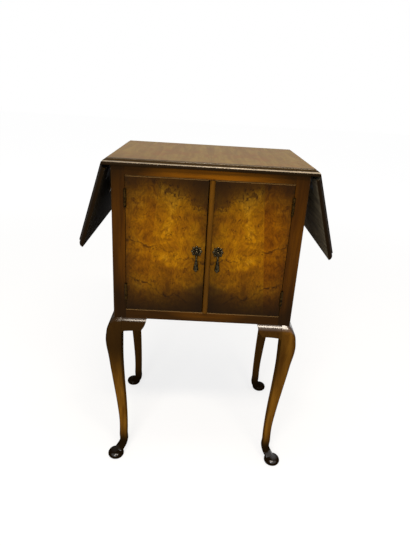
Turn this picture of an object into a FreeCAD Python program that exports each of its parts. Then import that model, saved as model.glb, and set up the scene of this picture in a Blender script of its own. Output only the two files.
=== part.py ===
"""Cellarette: a small drinks cabinet on cabriole legs, with two drop leaves.

X runs to the right, Y to the back and Z up. The origin is on the floor below
the middle of the carcase. Lengths are millimetres and angles degrees.
Everything is drawn at rest: doors shut, both leaves hanging on their stays.
"""
import FreeCAD, Part, Sketcher
import math
import os
import re

from FreeCAD import Placement, Rotation, Vector

SIZES = {
    # carcase
    "carcase_width": 404,
    "carcase_depth": 310,
    "carcase_bottom": 405,
    "carcase_height": 344.2,
    "side_board": 16,
    "back_board": 9,
    "floor_board": 14,
    "frame_board": 18,
    "stile_width": 28,
    "top_rail_height": 20,
    "bottom_rail_height": 22,
    "frame_arris": 0.8,
    "corner_arris": 1.5,
    "rear_rail_width": 40,
    "stop_board": 11,
    "stop_reach": 12,
    # top and leaves
    "top_side": 8,
    "top_front": 1.5,
    "top_back": 2,
    "top_board": 12.8,
    "ovolo_size": 9.8,
    "rim_flat": 0.01,
    "leaf_reach": 184,
    "leaf_splay": 17,
    "rule_gap": 0.4,
    # inside
    "shelf_board": 11,
    "shelf_depth": 136,
    "shelf_height": 178,
    "bearer_size": 11,
    "shelf_gap": 0.3,
    # legs
    "knee_drop": 38,
    "knee_out": 17,
    "knee_inset": 18.5,
    "ankle_height": 92,
    "ankle_out": -6,
    "ankle_inset": 25.8,
    "heel_height": 28,
    "heel_out": -3,
    "heel_inset": 24,
    "foot_out": 2,
    "foot_radius": 20,
    "foot_height": 16,
    "knee_corner": 8,
    "ankle_corner": 6,
    "block_length": 55.5,
    "block_drop": 25.5,
    "block_arch": 7.5,
    "block_tip": 3,
    "block_sweep": 9,
    "block_round": 3.5,
    "block_depth": 18,
    "block_gap": 0.2,
    # doors
    "door_board": 17.7,
    "door_gap": 1,
    "door_arris": 0.8,
    "meeting_gap": 2,
    "meeting_shift": -2,
    "bead_width": 11.5,
    "bead_proud": 5.5,
    # door hinges
    "hinge_length": 38,
    "hinge_margin": 26,
    "hinge_flap": 16,
    "hinge_plate": 1.2,
    "hinge_air": 0.2,
    "hinge_proud": 2,
    "knuckle_radius": 3,
    "hinge_pin": 1.3,
    "pin_fit": 0.05,
    "knuckle_air": 0.3,
    # leaf hinges
    "rule_hinge_length": 34,
    "rule_hinge_spacing": 190,
    "rule_flap_top": 28,
    "rule_flap_leaf": 42,
    "rule_plate": 1.5,
    "rule_knuckle": 2.5,
    "rule_pin": 1.1,
    "underside_drop": 1,
    # leaf stays
    "stay_reach": 80,
    "stay_offset": 7.5,
    "stay_link": 57,
    "stay_width": 11,
    "stay_plate": 2,
    "stay_air": 0.3,
    "stay_rivet": 2,
    "rivet_head": 3.6,
    "rivet_cap": 1,
    "lug_plate": 1.5,
    "lug_length": 30,
    # pulls
    "pull_spacing": 46,
    "pull_shift": 3,
    "pull_height": 148,
    "rosette_radius": 8.2,
    "petal_radius": 4.2,
    "rosette_plate": 1.8,
    "collar_radius": 5.6,
    "collar_height": 1.6,
    "boss_radius": 5,
    "boss_reach": 8.2,
    "stem_radius": 2,
    "slot_width": 2.6,
    "tongue_width": 2,
    "tongue_radius": 1.9,
    "cross_pin": 0.7,
    "drop_length": 45,
    "drop_radius": 5.8,
    "drop_neck": 2,
    "nut_width": 8,
    "nut_height": 3,
    # catches
    "catch_length": 34,
    "catch_depth": 13,
    "catch_height": 11,
    "catch_plate": 1,
    "catch_air": 0.3,
    "catch_from_edge": 42,
}

# Edges and planes that several pieces share, from the sizes above.
HALF_WIDTH = "carcase_width/2"
FRONT = "(-carcase_depth/2)"
BACK = "(carcase_depth/2)"
INNER_FACE = f"({FRONT} + frame_board)"
TOP_UNDERSIDE = "(carcase_bottom + carcase_height)"
OPENING_SIDE = f"({HALF_WIDTH} - stile_width)"
OPENING_FOOT = "(carcase_bottom + bottom_rail_height)"
OPENING_HEAD = f"({TOP_UNDERSIDE} - top_rail_height)"
SIDE_INSIDE = f"({HALF_WIDTH} - side_board)"
BACK_INSIDE = f"({BACK} - back_board)"
FIELD_SIDE = f"({HALF_WIDTH} + top_side)"
FIELD_FRONT = f"({FRONT} + top_front)"
FIELD_BACK = f"({BACK} + top_back)"
HINGE_LINE = f"({TOP_UNDERSIDE} + underside_drop)"
DOOR_FOOT = f"({OPENING_FOOT} + door_gap)"
DOOR_HEAD = f"({OPENING_HEAD} - door_gap)"
DOOR_BACK = f"({FRONT} + door_board)"
LEFT_EDGE = "(meeting_shift - meeting_gap/2)"
RIGHT_EDGE = "(meeting_shift + meeting_gap/2)"
DOOR_MIDDLE = f"(({DOOR_FOOT} + {DOOR_HEAD})/2)"

doc = FreeCAD.newDocument("cellarette")
sizes = doc.addObject("Spreadsheet::Sheet", "sizes")
pieces = {}


# ---------------------------------------------------------------- helpers
def fill_sheet():
    """Write every driving dimension into the sheet, one aliased row each."""
    for row, (alias, number) in enumerate(SIZES.items(), start=1):
        sizes.set(f"A{row}", alias)
        sizes.set(f"B{row}", str(number))
        sizes.setAlias(f"B{row}", alias)
    doc.recompute()


def value(expression):
    """The number that an expression of aliases comes to."""
    number = sizes.evalExpression(str(expression))
    return float(getattr(number, "Value", number))


def bind(target, path, expression):
    """Bind a property to an expression, with each alias read from the sheet."""
    text = re.sub(r"\b([a-z]+(?:_[a-z]+)+)\b", r"sizes.\1", str(expression))
    target.setExpression(path, text)


def place(target, x="0", y="0", z="0"):
    """Bind the position of a feature."""
    for axis, expression in (("x", x), ("y", y), ("z", z)):
        bind(target, f"Placement.Base.{axis}", expression)


def keep(name, feature):
    """Register a finished sub-part under its own name."""
    feature.Label = name
    pieces[name] = feature
    return feature


def box(name, x0, x1, y0, y1, z0, z1):
    """A board between two values on each axis."""
    board = doc.addObject("Part::Box", name)
    bind(board, "Length", f"({x1}) - ({x0})")
    bind(board, "Width", f"({y1}) - ({y0})")
    bind(board, "Height", f"({z1}) - ({z0})")
    place(board, x0, y0, z0)
    return board


TURN = {
    "x": Rotation(Vector(0, 1, 0), 90),
    "y": Rotation(Vector(1, 0, 0), -90),
    "z": Rotation(),
}


def cylinder(name, radius, height, along, x, y, z):
    """A round bar that starts at a point and runs along one axis."""
    bar = doc.addObject("Part::Cylinder", name)
    bind(bar, "Radius", radius)
    bind(bar, "Height", height)
    bar.Placement = Placement(Vector(), TURN[along])
    place(bar, x, y, z)
    return bar


def fuse(name, shapes):
    """Several solids joined into one."""
    joined = doc.addObject("Part::MultiFuse", name)
    joined.Shapes = shapes
    joined.Refine = True
    return joined


def cut(name, base, tools):
    """A solid less one or more tools."""
    result = doc.addObject("Part::Cut", name)
    result.Base = base
    result.Tool = tools[0] if len(tools) == 1 else fuse(name + "_tools", tools)
    result.Refine = True
    return result


def group(name, shapes):
    """Like pieces that stay separate solids in one sub-part."""
    together = doc.addObject("Part::Compound", name)
    together.Links = shapes
    return together


def mirror(name, source, normal):
    """The other hand of a piece, about a plane through the origin."""
    other = doc.addObject("Part::Mirroring", name)
    other.Source = source
    other.Normal = normal
    return other


def both_sides(name, right_piece):
    """Keep a right-hand piece and its mirror image as two sub-parts."""
    keep(f"{name}_right", right_piece)
    keep(f"{name}_left", mirror(f"{name}_left", right_piece, (1, 0, 0)))


def draw(sketch, points, arcs=None):
    """Draw a closed outline whose corners and radii follow the sheet.

    points are (x, y) expressions. arcs maps the number of a segment to its
    radius and to which side of the way along it the centre lies: 1 is left.
    """
    arcs = arcs or {}
    at = [Vector(value(x), value(y), 0) for x, y in points]
    ends = []
    for i, start in enumerate(at):
        stop = at[(i + 1) % len(at)]
        if i not in arcs:
            sketch.addGeometry(Part.LineSegment(start, stop))
            ends.append((1, 2))
            continue
        radius, side = value(arcs[i][0]), arcs[i][1]
        chord = stop - start
        rise = math.sqrt(max(radius**2 - chord.Length**2 / 4, 0))
        left = Vector(-chord.y, chord.x, 0).normalize()
        centre = (start + stop) / 2 + left * side * rise
        begin, end = (start, stop) if side > 0 else (stop, start)
        turn = [math.atan2(p.y - centre.y, p.x - centre.x) for p in (begin, end)]
        circle = Part.Circle(centre, Vector(0, 0, 1), radius)
        sketch.addGeometry(Part.ArcOfCircle(circle, turn[0], turn[1]))
        ends.append((1, 2) if side > 0 else (2, 1))
    for i, point in enumerate(points):
        begin, end = ends[i]
        follower = (i + 1) % len(points)
        meet = ("Coincident", i, end, follower, ends[follower][0])
        sketch.addConstraint(Sketcher.Constraint(*meet))
        for kind, number, text in (
            ("DistanceX", at[i].x, point[0]),
            ("DistanceY", at[i].y, point[1]),
        ):
            index = sketch.addConstraint(Sketcher.Constraint(kind, -1, 1, i, begin, number))
            bind(sketch, f"Constraints[{index}]", text)
        if i in arcs:
            radius = value(arcs[i][0])
            index = sketch.addConstraint(Sketcher.Constraint("Radius", i, radius))
            bind(sketch, f"Constraints[{index}]", arcs[i][0])
    return sketch


def plane_of(body, role):
    """One of a body's own origin planes or axes."""
    return next(item for item in body.Origin.OriginFeatures if item.Role == role)


def sketch_on(body, name, role, across="0", up="0", out="0"):
    """A sketch on a body's own origin plane, shifted within and off it."""
    sketch = body.newObject("Sketcher::SketchObject", name)
    sketch.AttachmentSupport = [(plane_of(body, role), "")]
    sketch.MapMode = "FlatFace"
    for axis, expression in (("x", across), ("y", up), ("z", out)):
        bind(sketch, f"AttachmentOffset.Base.{axis}", expression)
    return sketch


def pad(body, sketch, length):
    """Material added along a sketch's normal."""
    feature = body.newObject("PartDesign::Pad", sketch.Name + "_pad")
    feature.Profile = sketch
    bind(feature, "Length", length)
    return feature


def revolve(body, sketch, axis="V_Axis"):
    """Material turned about an axis of its sketch."""
    feature = body.newObject("PartDesign::Revolution", sketch.Name + "_turned")
    feature.Profile = sketch
    feature.ReferenceAxis = (sketch, [axis])
    feature.Angle = 360
    return feature


def rectangle(x0, x1, y0, y1):
    """The corners of an upright rectangle, as expressions."""
    return [(x0, y0), (x1, y0), (x1, y1), (x0, y1)]


SKETCH_TURN = {
    "x": (Rotation(Vector(1, 1, 1), 120), Vector(1, 0, 0)),
    "y": (Rotation(Vector(1, 0, 0), 90), Vector(0, 1, 0)),
    "z": (Rotation(), Vector(0, 0, 1)),
}


def prism(name, points, length, start, arcs=None, along="y"):
    """An outline extruded along one axis, from where it starts on that axis.

    The outline is in YZ along x, in XZ along y and in XY along z.
    """
    rotation, direction = SKETCH_TURN[along]
    sketch = doc.addObject("Sketcher::SketchObject", name + "_outline")
    sketch.Placement = Placement(Vector(), rotation)
    place(sketch, **{along: start})
    draw(sketch, points, arcs)
    solid = doc.addObject("Part::Extrusion", name)
    solid.Base = sketch
    solid.DirMode = "Custom"
    solid.Dir = direction
    solid.Solid = True
    bind(solid, "LengthFwd", length)
    return solid


def common(name, shapes):
    """What several solids share."""
    shared = doc.addObject("Part::MultiCommon", name)
    shared.Shapes = shapes
    shared.Refine = True
    return shared


# ---------------------------------------------------------------- carcase
def make_carcase():
    """Sides, floor, back, rails and the stop that the doors close against."""
    side = box("side_board_right", SIDE_INSIDE, HALF_WIDTH, INNER_FACE, BACK,
               "carcase_bottom", TOP_UNDERSIDE)
    both_sides("side_board", side)
    floor_top = OPENING_FOOT
    keep("floor_board", box("floor_board", f"-{SIDE_INSIDE}", SIDE_INSIDE, INNER_FACE,
                            BACK_INSIDE, f"{floor_top} - floor_board", floor_top))
    keep("back_board", box("back_board", f"-{SIDE_INSIDE}", SIDE_INSIDE, BACK_INSIDE,
                           BACK, "carcase_bottom", TOP_UNDERSIDE))
    # The rails lose their arris where they border the opening.
    eased = f"({FRONT} + frame_arris)"
    under_top = [(FRONT, TOP_UNDERSIDE), (FRONT, f"{OPENING_HEAD} + frame_arris"),
                 (eased, OPENING_HEAD), (INNER_FACE, OPENING_HEAD),
                 (INNER_FACE, TOP_UNDERSIDE)]
    at_foot = [(FRONT, "carcase_bottom"), (INNER_FACE, "carcase_bottom"),
               (INNER_FACE, OPENING_FOOT), (eased, OPENING_FOOT),
               (FRONT, f"{OPENING_FOOT} - frame_arris")]
    for name, outline in (("top_rail", under_top), ("bottom_rail", at_foot)):
        keep(name, prism(name, outline, f"2*{OPENING_SIDE}", f"-{OPENING_SIDE}",
                         along="x"))
    keep("rear_rail", box("rear_rail", f"-{SIDE_INSIDE}", SIDE_INSIDE,
                          f"{BACK_INSIDE} - rear_rail_width", BACK_INSIDE,
                          f"{TOP_UNDERSIDE} - top_rail_height", TOP_UNDERSIDE))
    keep("door_stop", box("door_stop", f"-{SIDE_INSIDE}", SIDE_INSIDE, INNER_FACE,
                          f"{INNER_FACE} + stop_board",
                          f"{OPENING_HEAD} - stop_reach", TOP_UNDERSIDE))


def make_stiles():
    """The two uprights of the face frame, let in for the hinge flaps."""
    plan = [(OPENING_SIDE, FRONT), (f"{HALF_WIDTH} - corner_arris", FRONT),
            (HALF_WIDTH, f"{FRONT} + corner_arris"), (HALF_WIDTH, INNER_FACE),
            (OPENING_SIDE, INNER_FACE)]
    board = prism("stile_blank", plan, "carcase_height", "carcase_bottom", along="z")
    beds = [hinge_bed("stile_bed", level, 1) for level in (-1, 1)]
    both_sides("stile", cut("stile_right", board, beds))


def make_inside():
    """A half-depth shelf, so that bottles stand full height in front of it."""
    shelf_foot = f"({OPENING_FOOT} + shelf_height)"
    ends = f"({SIDE_INSIDE} - shelf_gap)"
    keep("shelf", box("shelf", f"-{ends}", ends, f"{BACK_INSIDE} - shelf_depth",
                      BACK_INSIDE, shelf_foot, f"{shelf_foot} + shelf_board"))
    bearer = box("bearer", f"{SIDE_INSIDE} - bearer_size", SIDE_INSIDE,
                 f"{BACK_INSIDE} - shelf_depth", BACK_INSIDE,
                 f"{shelf_foot} - bearer_size", shelf_foot)
    keep("shelf_bearers", group("shelf_bearers",
                                [bearer, mirror("bearer_left", bearer, (1, 0, 0))]))


# ---------------------------------------------------------------- top and leaves
def moulded_board(name, x0, x1, y0, y1, moulded):
    """A board whose named edges step down to a quarter-round ovolo.

    The limits are those of the flat field. The board's own Z is measured from
    the centre line of the ovolo, which is also the line of the leaf hinges.
    """
    nose = {side: "ovolo_size" if side in moulded else "0" for side in "lrfb"}
    body = doc.addObject("PartDesign::Body", name)
    slab = sketch_on(body, name + "_slab", "XY_Plane", out="-underside_drop")
    draw(slab, rectangle(f"{x0} - {nose['l']}", f"{x1} + {nose['r']}",
                         f"{y0} - {nose['f']}", f"{y1} + {nose['b']}"))
    lower = pad(body, slab, "ovolo_size + underside_drop")
    doc.recompute()
    limits = {"l": ("x", x0, -1), "r": ("x", x1, 1), "f": ("y", y0, -1), "b": ("y", y1, 1)}
    rims = []
    for number, edge in enumerate(lower.Shape.Edges, start=1):
        middle = edge.BoundBox.Center
        if abs(edge.BoundBox.ZMin - value("ovolo_size")) > value("rim_flat"):
            continue
        for side in moulded:
            axis, limit, way = limits[side]
            rim = value(limit) + way * value("ovolo_size")
            if abs(getattr(middle, axis) - rim) < value("rim_flat"):
                rims.append(f"Edge{number}")
    ovolo = body.newObject("PartDesign::Fillet", name + "_ovolo")
    ovolo.Base = (lower, rims)
    bind(ovolo, "Radius", "ovolo_size - rim_flat")
    field = sketch_on(body, name + "_field", "XY_Plane", out="0")
    draw(field, rectangle(x0, x1, y0, y1))
    pad(body, field, "top_board - underside_drop")
    return body


def rule_hinge_places(tool):
    """The same tool at both hinges of a leaf."""
    return [tool, mirror(tool.Name + "_rear", tool, (0, 1, 0))]


def make_top():
    """The fixed top: a moulded board let in underneath for the leaf hinges."""
    board = moulded_board("top_blank", f"-{FIELD_SIDE}", FIELD_SIDE, FIELD_FRONT,
                          FIELD_BACK, "lrfb")
    place(board, z=HINGE_LINE)
    start = "(rule_hinge_spacing - rule_hinge_length)/2 - knuckle_air"
    length = "rule_hinge_length + 2*knuckle_air"
    flap = box("top_bed", f"{FIELD_SIDE} - rule_flap_top", f"{FIELD_SIDE} + ovolo_size + 1",
               start, f"{start} + {length}", f"{TOP_UNDERSIDE} - 1",
               f"{TOP_UNDERSIDE} + rule_plate")
    knuckle = cylinder("top_knuckle_bed", "rule_knuckle + knuckle_air", length, "y",
                       FIELD_SIDE, start, HINGE_LINE)
    mouth = box("top_knuckle_mouth", f"{FIELD_SIDE} - rule_knuckle - knuckle_air",
                f"{FIELD_SIDE} + rule_knuckle + knuckle_air", start,
                f"{start} + {length}", f"{TOP_UNDERSIDE} - 1", HINGE_LINE)
    beds = []
    for tool in (flap, knuckle, mouth):
        for bed in rule_hinge_places(tool):
            beds += [bed, mirror(bed.Name + "_left", bed, (1, 0, 0))]
    keep("tabletop", cut("tabletop", board, beds))


def hang(feature):
    """Swing a leaf, or what it carries, down about its hinge line."""
    feature.Placement = Placement(Vector(), Rotation(Vector(0, 1, 0), 1))
    place(feature, FIELD_SIDE, "0", HINGE_LINE)
    bind(feature, "Placement.Rotation.Angle", "90 - leaf_splay")


def make_leaves():
    """Two leaves: a cove on the inner edge rolls round the top's ovolo."""
    reach = "leaf_reach - ovolo_size"
    board = moulded_board("leaf_blank", "rule_gap", reach, FIELD_FRONT, FIELD_BACK, "rfb")
    cove = cylinder("leaf_cove", "ovolo_size + rule_gap", "carcase_depth + 4*ovolo_size",
                    "y", "0", f"{FRONT} - 2*ovolo_size", "0")
    start = "(rule_hinge_spacing - rule_hinge_length)/2 - knuckle_air"
    flap = box("leaf_bed", "0", "rule_flap_leaf", start,
               f"{start} + rule_hinge_length + 2*knuckle_air",
               "-underside_drop - 1", "rule_plate - underside_drop")
    leaf = cut("leaf_right", board, [cove] + rule_hinge_places(flap))
    hang(leaf)
    both_sides("leaf", leaf)


# ---------------------------------------------------------------- hinges
def hinge_side(name, length, radius, bore, width, low, high, own, air):
    """One flap of a butt hinge, about an axis along Z, centred on the origin.

    The flap lies between low and high on X and runs width along Y. own says
    which of the five knuckles it carries.
    """
    pitch = f"({length})/5"
    clear = f"{radius} + {air}"
    parts = [box(name + "_flap", low, high, clear, width, f"-({length})/2", f"({length})/2")]
    for number in own:
        foot = f"-({length})/2 + {number}*{pitch} + {air}/2"
        head = f"{foot} + {pitch} - {air}"
        parts.append(box(f"{name}_tab{number}", low, high, "0", f"{clear} + 0.5", foot, head))
        parts.append(cylinder(f"{name}_knuckle{number}", radius, f"{pitch} - {air}", "z",
                              "0", "0", foot))
    hole = cylinder(name + "_bore", bore, f"{length} + 2", "z", "0", "0",
                    f"-({length})/2 - 1")
    return cut(name, fuse(name + "_solid", parts), [hole])


def turned(name, source, rotation, x, y, z):
    """A made piece set down somewhere else."""
    moved = doc.addObject("Part::Compound", name)
    moved.Links = [source]
    moved.Placement = Placement(Vector(), rotation)
    place(moved, x, y, z)
    return moved


HINGE_X = f"({OPENING_SIDE} - door_gap/2)"
HINGE_Y = f"({FRONT} - hinge_proud)"
HINGE_RISE = f"((({DOOR_HEAD} - {DOOR_FOOT}) - hinge_length)/2 - hinge_margin)"


def hinge_bed(name, level, way):
    """Room for one door hinge in the stile (way 1) or in the door (way -1)."""
    room = "(hinge_length + 2*knuckle_air)"
    foot = f"({DOOR_MIDDLE} + {level}*{HINGE_RISE} - {room}/2)"
    ends = [HINGE_X, f"{HINGE_X} + {way}*(hinge_air/2 + hinge_plate)"]
    if way < 0:
        ends.reverse()
    flap = box(name, ends[0], ends[1], HINGE_Y, f"{HINGE_Y} + hinge_flap", foot,
               f"{foot} + {room}")
    barrel = cylinder(name + "_barrel", "knuckle_radius + knuckle_air", room, "z",
                      HINGE_X, HINGE_Y, foot)
    return fuse(name + "_room", [flap, barrel])


def make_door_hinges():
    """Two brass butt hinges a side, their knuckles standing proud in front."""
    shape = ("hinge_length", "knuckle_radius", "hinge_pin + pin_fit", "hinge_flap")
    fixed = hinge_side("stile_flap", *shape, "hinge_air/2", "hinge_air/2 + hinge_plate",
                       (0, 2, 4), "knuckle_air")
    moving = hinge_side("door_flap", *shape, "-hinge_air/2 - hinge_plate",
                        "-hinge_air/2", (1, 3), "knuckle_air")
    pin = cylinder("door_pin", "hinge_pin", "hinge_length", "z", "0", "0", "-hinge_length/2")
    for name, part in (("door_hinge_stile_flaps", fixed), ("door_hinge_door_flaps", moving),
                       ("door_hinge_pins", pin)):
        pair = [turned(f"{name}_{level}", part, Rotation(), HINGE_X, HINGE_Y,
                       f"{DOOR_MIDDLE} + {way}*{HINGE_RISE}")
                for level, way in (("lower", -1), ("upper", 1))]
        both_sides(name, group(name + "_right", pair))


def make_leaf_hinges():
    """Two steel rule-joint hinges a side, let in flush with the underside."""
    shape = ("rule_hinge_length", "rule_knuckle", "rule_pin + pin_fit")
    low = "-underside_drop"
    high = "rule_plate - underside_drop"
    top = hinge_side("top_flap", *shape, "rule_flap_top", low, high, (0, 2, 4), "knuckle_air")
    leaf = hinge_side("leaf_flap", *shape, "rule_flap_leaf", f"-({high})", f"-({low})",
                      (1, 3), "knuckle_air")
    pin = cylinder("rule_hinge_pin", "rule_pin", "rule_hinge_length", "z", "0", "0",
                   "-rule_hinge_length/2")
    # The axis turns from Z to Y. The fixed flap then runs inwards under the
    # top and the other one outwards under the leaf.
    inwards = Rotation(Vector(0, 0, 1), Vector(-1, 0, 0), Vector(0, -1, 0), "XYZ")
    outwards = Rotation(Vector(0, 0, -1), Vector(1, 0, 0), Vector(0, -1, 0), "XYZ")
    for name, part, rotation in (("leaf_hinge_top_flaps", top, inwards),
                                 ("leaf_hinge_pins", pin, inwards)):
        front = turned(name + "_front", part, rotation, FIELD_SIDE,
                       "-rule_hinge_spacing/2", HINGE_LINE)
        both_sides(name, group(name + "_right", rule_hinge_places(front)))
    front = turned("leaf_flaps_front", leaf, outwards, "0", "-rule_hinge_spacing/2", "0")
    flaps = group("leaf_hinge_leaf_flaps_right", rule_hinge_places(front))
    hang(flaps)
    both_sides("leaf_hinge_leaf_flaps", flaps)


# ---------------------------------------------------------------- leaf stays
def stay_geometry():
    """Where the stay's pivots and elbow are, seen along Y from the hinge line.

    Both pivots lie at one distance from the hinge line and both links have one
    length, so the elbow stays on the line that halves the angle between them.
    """
    lug_x = value(f"{HALF_WIDTH} + stay_offset - {FIELD_SIDE}")
    lug_z = -value("stay_reach")
    spread = math.hypot(lug_x, lug_z)
    leaf_z = -value("underside_drop + stay_offset")
    leaf_x = math.sqrt(spread**2 - leaf_z**2)
    drop = math.radians(90 - value("leaf_splay"))
    hung_x = leaf_x * math.cos(drop) + leaf_z * math.sin(drop)
    hung_z = -leaf_x * math.sin(drop) + leaf_z * math.cos(drop)
    half_gap = math.hypot(hung_x - lug_x, hung_z - lug_z) / 2
    middle = ((hung_x + lug_x) / 2, (hung_z + lug_z) / 2)
    stretch = math.sqrt(value("stay_link") ** 2 - half_gap**2) / math.hypot(*middle)
    elbow = tuple(part * (1 + stretch) for part in middle)
    return (lug_x, lug_z), (hung_x, hung_z), elbow, leaf_x


def layer(number):
    """The front face of one of the stay's four layers, stacked along Y."""
    return f"({number} - 2)*(stay_plate + stay_air) + stay_air/2"


def stay_link(name, level, head_way):
    """A flat link along +X from its bored pivot to its riveted elbow."""
    front = layer(level)
    half = "stay_width/2"
    bar = box(name + "_bar", "0", "stay_link", front, f"{front} + stay_plate",
              f"-{half}", half)
    ends = [cylinder(f"{name}_end{end}", half, "stay_plate", "y", place_x, front, "0")
            for end, place_x in enumerate(("0", "stay_link"))]
    face = f"{front} + stay_plate" if head_way > 0 else f"{front} - rivet_cap"
    head = cylinder(name + "_rivet", "rivet_head", "rivet_cap", "y", "stay_link", face, "0")
    hole = cylinder(name + "_hole", "stay_rivet + pin_fit", "stay_plate + 2", "y", "0",
                    f"{front} - 1", "0")
    return cut(name, fuse(name + "_solid", [bar, head] + ends), [hole])


def stay_lug(name, level, rivet_way):
    """An angle lug: a screwed foot, an ear and the rivet that a link turns on.

    The rivet is on the origin and the foot lies stay_offset below it on Z.
    """
    front = layer(level)
    half = "stay_width/2"
    foot = box(name + "_foot", "-lug_length/2", "lug_length/2",
               f"{front} - stay_width/2", f"{front} + stay_plate + stay_width/2",
               "-stay_offset", "lug_plate - stay_offset")
    web = box(name + "_web", f"-{half}", half, front, f"{front} + stay_plate",
              "-stay_offset", "0")
    ear = cylinder(name + "_ear", half, "stay_plate", "y", "0", front, "0")
    reach = "stay_plate + 2*stay_air"
    rivet_start = front if rivet_way > 0 else f"{front} - ({reach})"
    rivet = cylinder(name + "_rivet", "stay_rivet", f"stay_plate + {reach}", "y", "0",
                     rivet_start, "0")
    cap_start = (f"{front} + stay_plate + {reach}" if rivet_way > 0
                 else f"{front} - ({reach}) - rivet_cap")
    cap = cylinder(name + "_cap", "rivet_head", "rivet_cap", "y", "0", cap_start, "0")
    return fuse(name, [foot, web, ear, rivet, cap])


def make_stays():
    """A folding brass stay under each leaf, folded behind it at rest."""
    lug, hung, elbow, leaf_x = stay_geometry()
    side_lug = stay_lug("side_lug_right", 0, 1)
    side_lug.Placement = Placement(Vector(), Rotation(Vector(0, 1, 0), 90))
    place(side_lug, f"{HALF_WIDTH} + stay_offset", "0", f"{HINGE_LINE} - stay_reach")
    both_sides("stay_side_lug", side_lug)

    leaf_lug = stay_lug("leaf_lug", 3, -1)
    leaf_lug.Placement = Placement(
        Vector(leaf_x, 0, -value("underside_drop + stay_offset")),
        Rotation(Vector(0, 1, 0), 180),
    )
    hung_lug = group("stay_leaf_lug_right", [leaf_lug])
    hang(hung_lug)
    both_sides("stay_leaf_lug", hung_lug)

    for name, level, way, pivot in (("stay_lower_link", 1, -1, lug),
                                    ("stay_upper_link", 2, 1, hung)):
        link = stay_link(name + "_right", level, way)
        fall = math.atan2(pivot[1] - elbow[1], elbow[0] - pivot[0])
        link.Placement = Placement(
            Vector(value(FIELD_SIDE) + pivot[0], 0, value(HINGE_LINE) + pivot[1]),
            Rotation(Vector(0, 1, 0), math.degrees(fall)),
        )
        both_sides(name, link)


# ---------------------------------------------------------------- legs
# Where the leg's sections lie, as shares of the knee and of the shank below it.
ABOVE_KNEE = (0, 0.2, 0.5, 1)
BELOW_KNEE = (0.25, 0.5, 0.75, 1)


def leg_stations():
    """Heights down the cabriole leg, with how far out each face stands there.

    Each row holds the height, the outer face beyond the carcase corner, the
    inner face behind it, and the radius of the two side corners.
    """
    knee = "(carcase_bottom - knee_drop)"
    rows = []
    for share in ABOVE_KNEE:
        # Above the knee the face is an arc that starts upright at the knee.
        level = f"(carcase_bottom - {share}*knee_drop)"
        arc = upright_arc("knee_out", "knee_drop")
        face = f"(knee_out - {arc} + sqrt({arc}^2 - ({1 - share}*knee_drop)^2))"
        rows.append((level, face, "knee_inset", "1"))
    for share in BELOW_KNEE:
        # The outside falls away evenly, the inside keeps its fullness longer.
        wave = (1 - math.cos(math.pi * share)) / 2
        level = f"({knee} + {share}*(ankle_height - {knee}))"
        out = f"(knee_out + {(wave + share) / 2:.4f}*(ankle_out - knee_out))"
        inset = f"(knee_inset + {wave**1.5:.4f}*(ankle_inset - knee_inset))"
        corner = f"(knee_corner*{1 - share:.2f} + ankle_corner*{share:.2f})"
        rows.append((level, out, inset, corner))
    middle = "((ankle_height + heel_height)/2)"
    rows.append((middle, "(ankle_out*0.85 + heel_out*0.15)",
                 "(ankle_inset*0.85 + heel_inset*0.15)", "ankle_corner"))
    rows.append(("heel_height", "heel_out", "heel_inset", "ankle_corner"))
    rows.append(("foot_height*0.6", "(foot_out + foot_radius*0.45)",
                 "(foot_radius*0.7 - foot_out)", "ankle_corner"))
    return rows


def leg_section(body, number, level, out, inset, corner):
    """A square section with a broad outer corner and softer side corners."""
    sketch = sketch_on(body, f"leg_section{number}", "XY_Plane", out=level)
    x1 = f"({HALF_WIDTH} + {out})"
    x0 = f"({HALF_WIDTH} - {inset})"
    y1 = f"({FRONT} - {out})"
    y0 = f"({FRONT} + {inset})"
    arris = "knee_corner"
    points = [
        (f"{x1} - {arris}", y1), (x1, f"{y1} + {arris}"),
        (x1, f"{y0} - {corner}"), (f"{x1} - {corner}", y0),
        (f"{x0} + {corner}", y0), (x0, f"{y0} - {corner}"),
        (x0, f"{y1} + {corner}"), (f"{x0} + {corner}", y1),
    ]
    draw(sketch, points, {0: (arris, 1), 2: (corner, 1), 4: (corner, 1), 6: (corner, 1)})
    return sketch


def upright_arc(run, rise):
    """Radius of an arc that crosses a run and a rise and ends upright."""
    return f"((({run})^2 + ({rise})^2)/(2*({run})))"


def make_legs():
    """Four cabriole legs on turned pad feet, toes pointing outwards."""
    body = doc.addObject("PartDesign::Body", "leg_front_right")
    sections = [leg_section(body, number, *row)
                for number, row in enumerate(leg_stations())]
    shaft = body.newObject("PartDesign::AdditiveLoft", "leg_shaft")
    shaft.Profile = sections[0]
    shaft.Sections = sections[1:]
    # The pad foot is turned about an upright axis below the toe.
    turn = sketch_on(body, "foot_turning", "XZ_Plane", across=f"{HALF_WIDTH} + foot_out",
                     out=f"-({FRONT} - foot_out)")
    sole, belly, top = "foot_radius*0.75", "foot_height*0.45", "foot_radius*0.7"
    points = [("0", "0"), (sole, "0"), ("foot_radius", belly), (top, "foot_height"),
              ("0", "foot_height + 3")]
    draw(turn, points, {1: (upright_arc(f"foot_radius - {sole}", belly), 1),
                        2: (upright_arc(f"foot_radius - {top}", f"foot_height - {belly}"), 1)})
    revolve(body, turn)
    right = keep("leg_front_right", body)
    left = keep("leg_front_left", mirror("leg_front_left", right, (1, 0, 0)))
    keep("leg_rear_right", mirror("leg_rear_right", right, (0, 1, 0)))
    keep("leg_rear_left", mirror("leg_rear_left", left, (0, 1, 0)))


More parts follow.
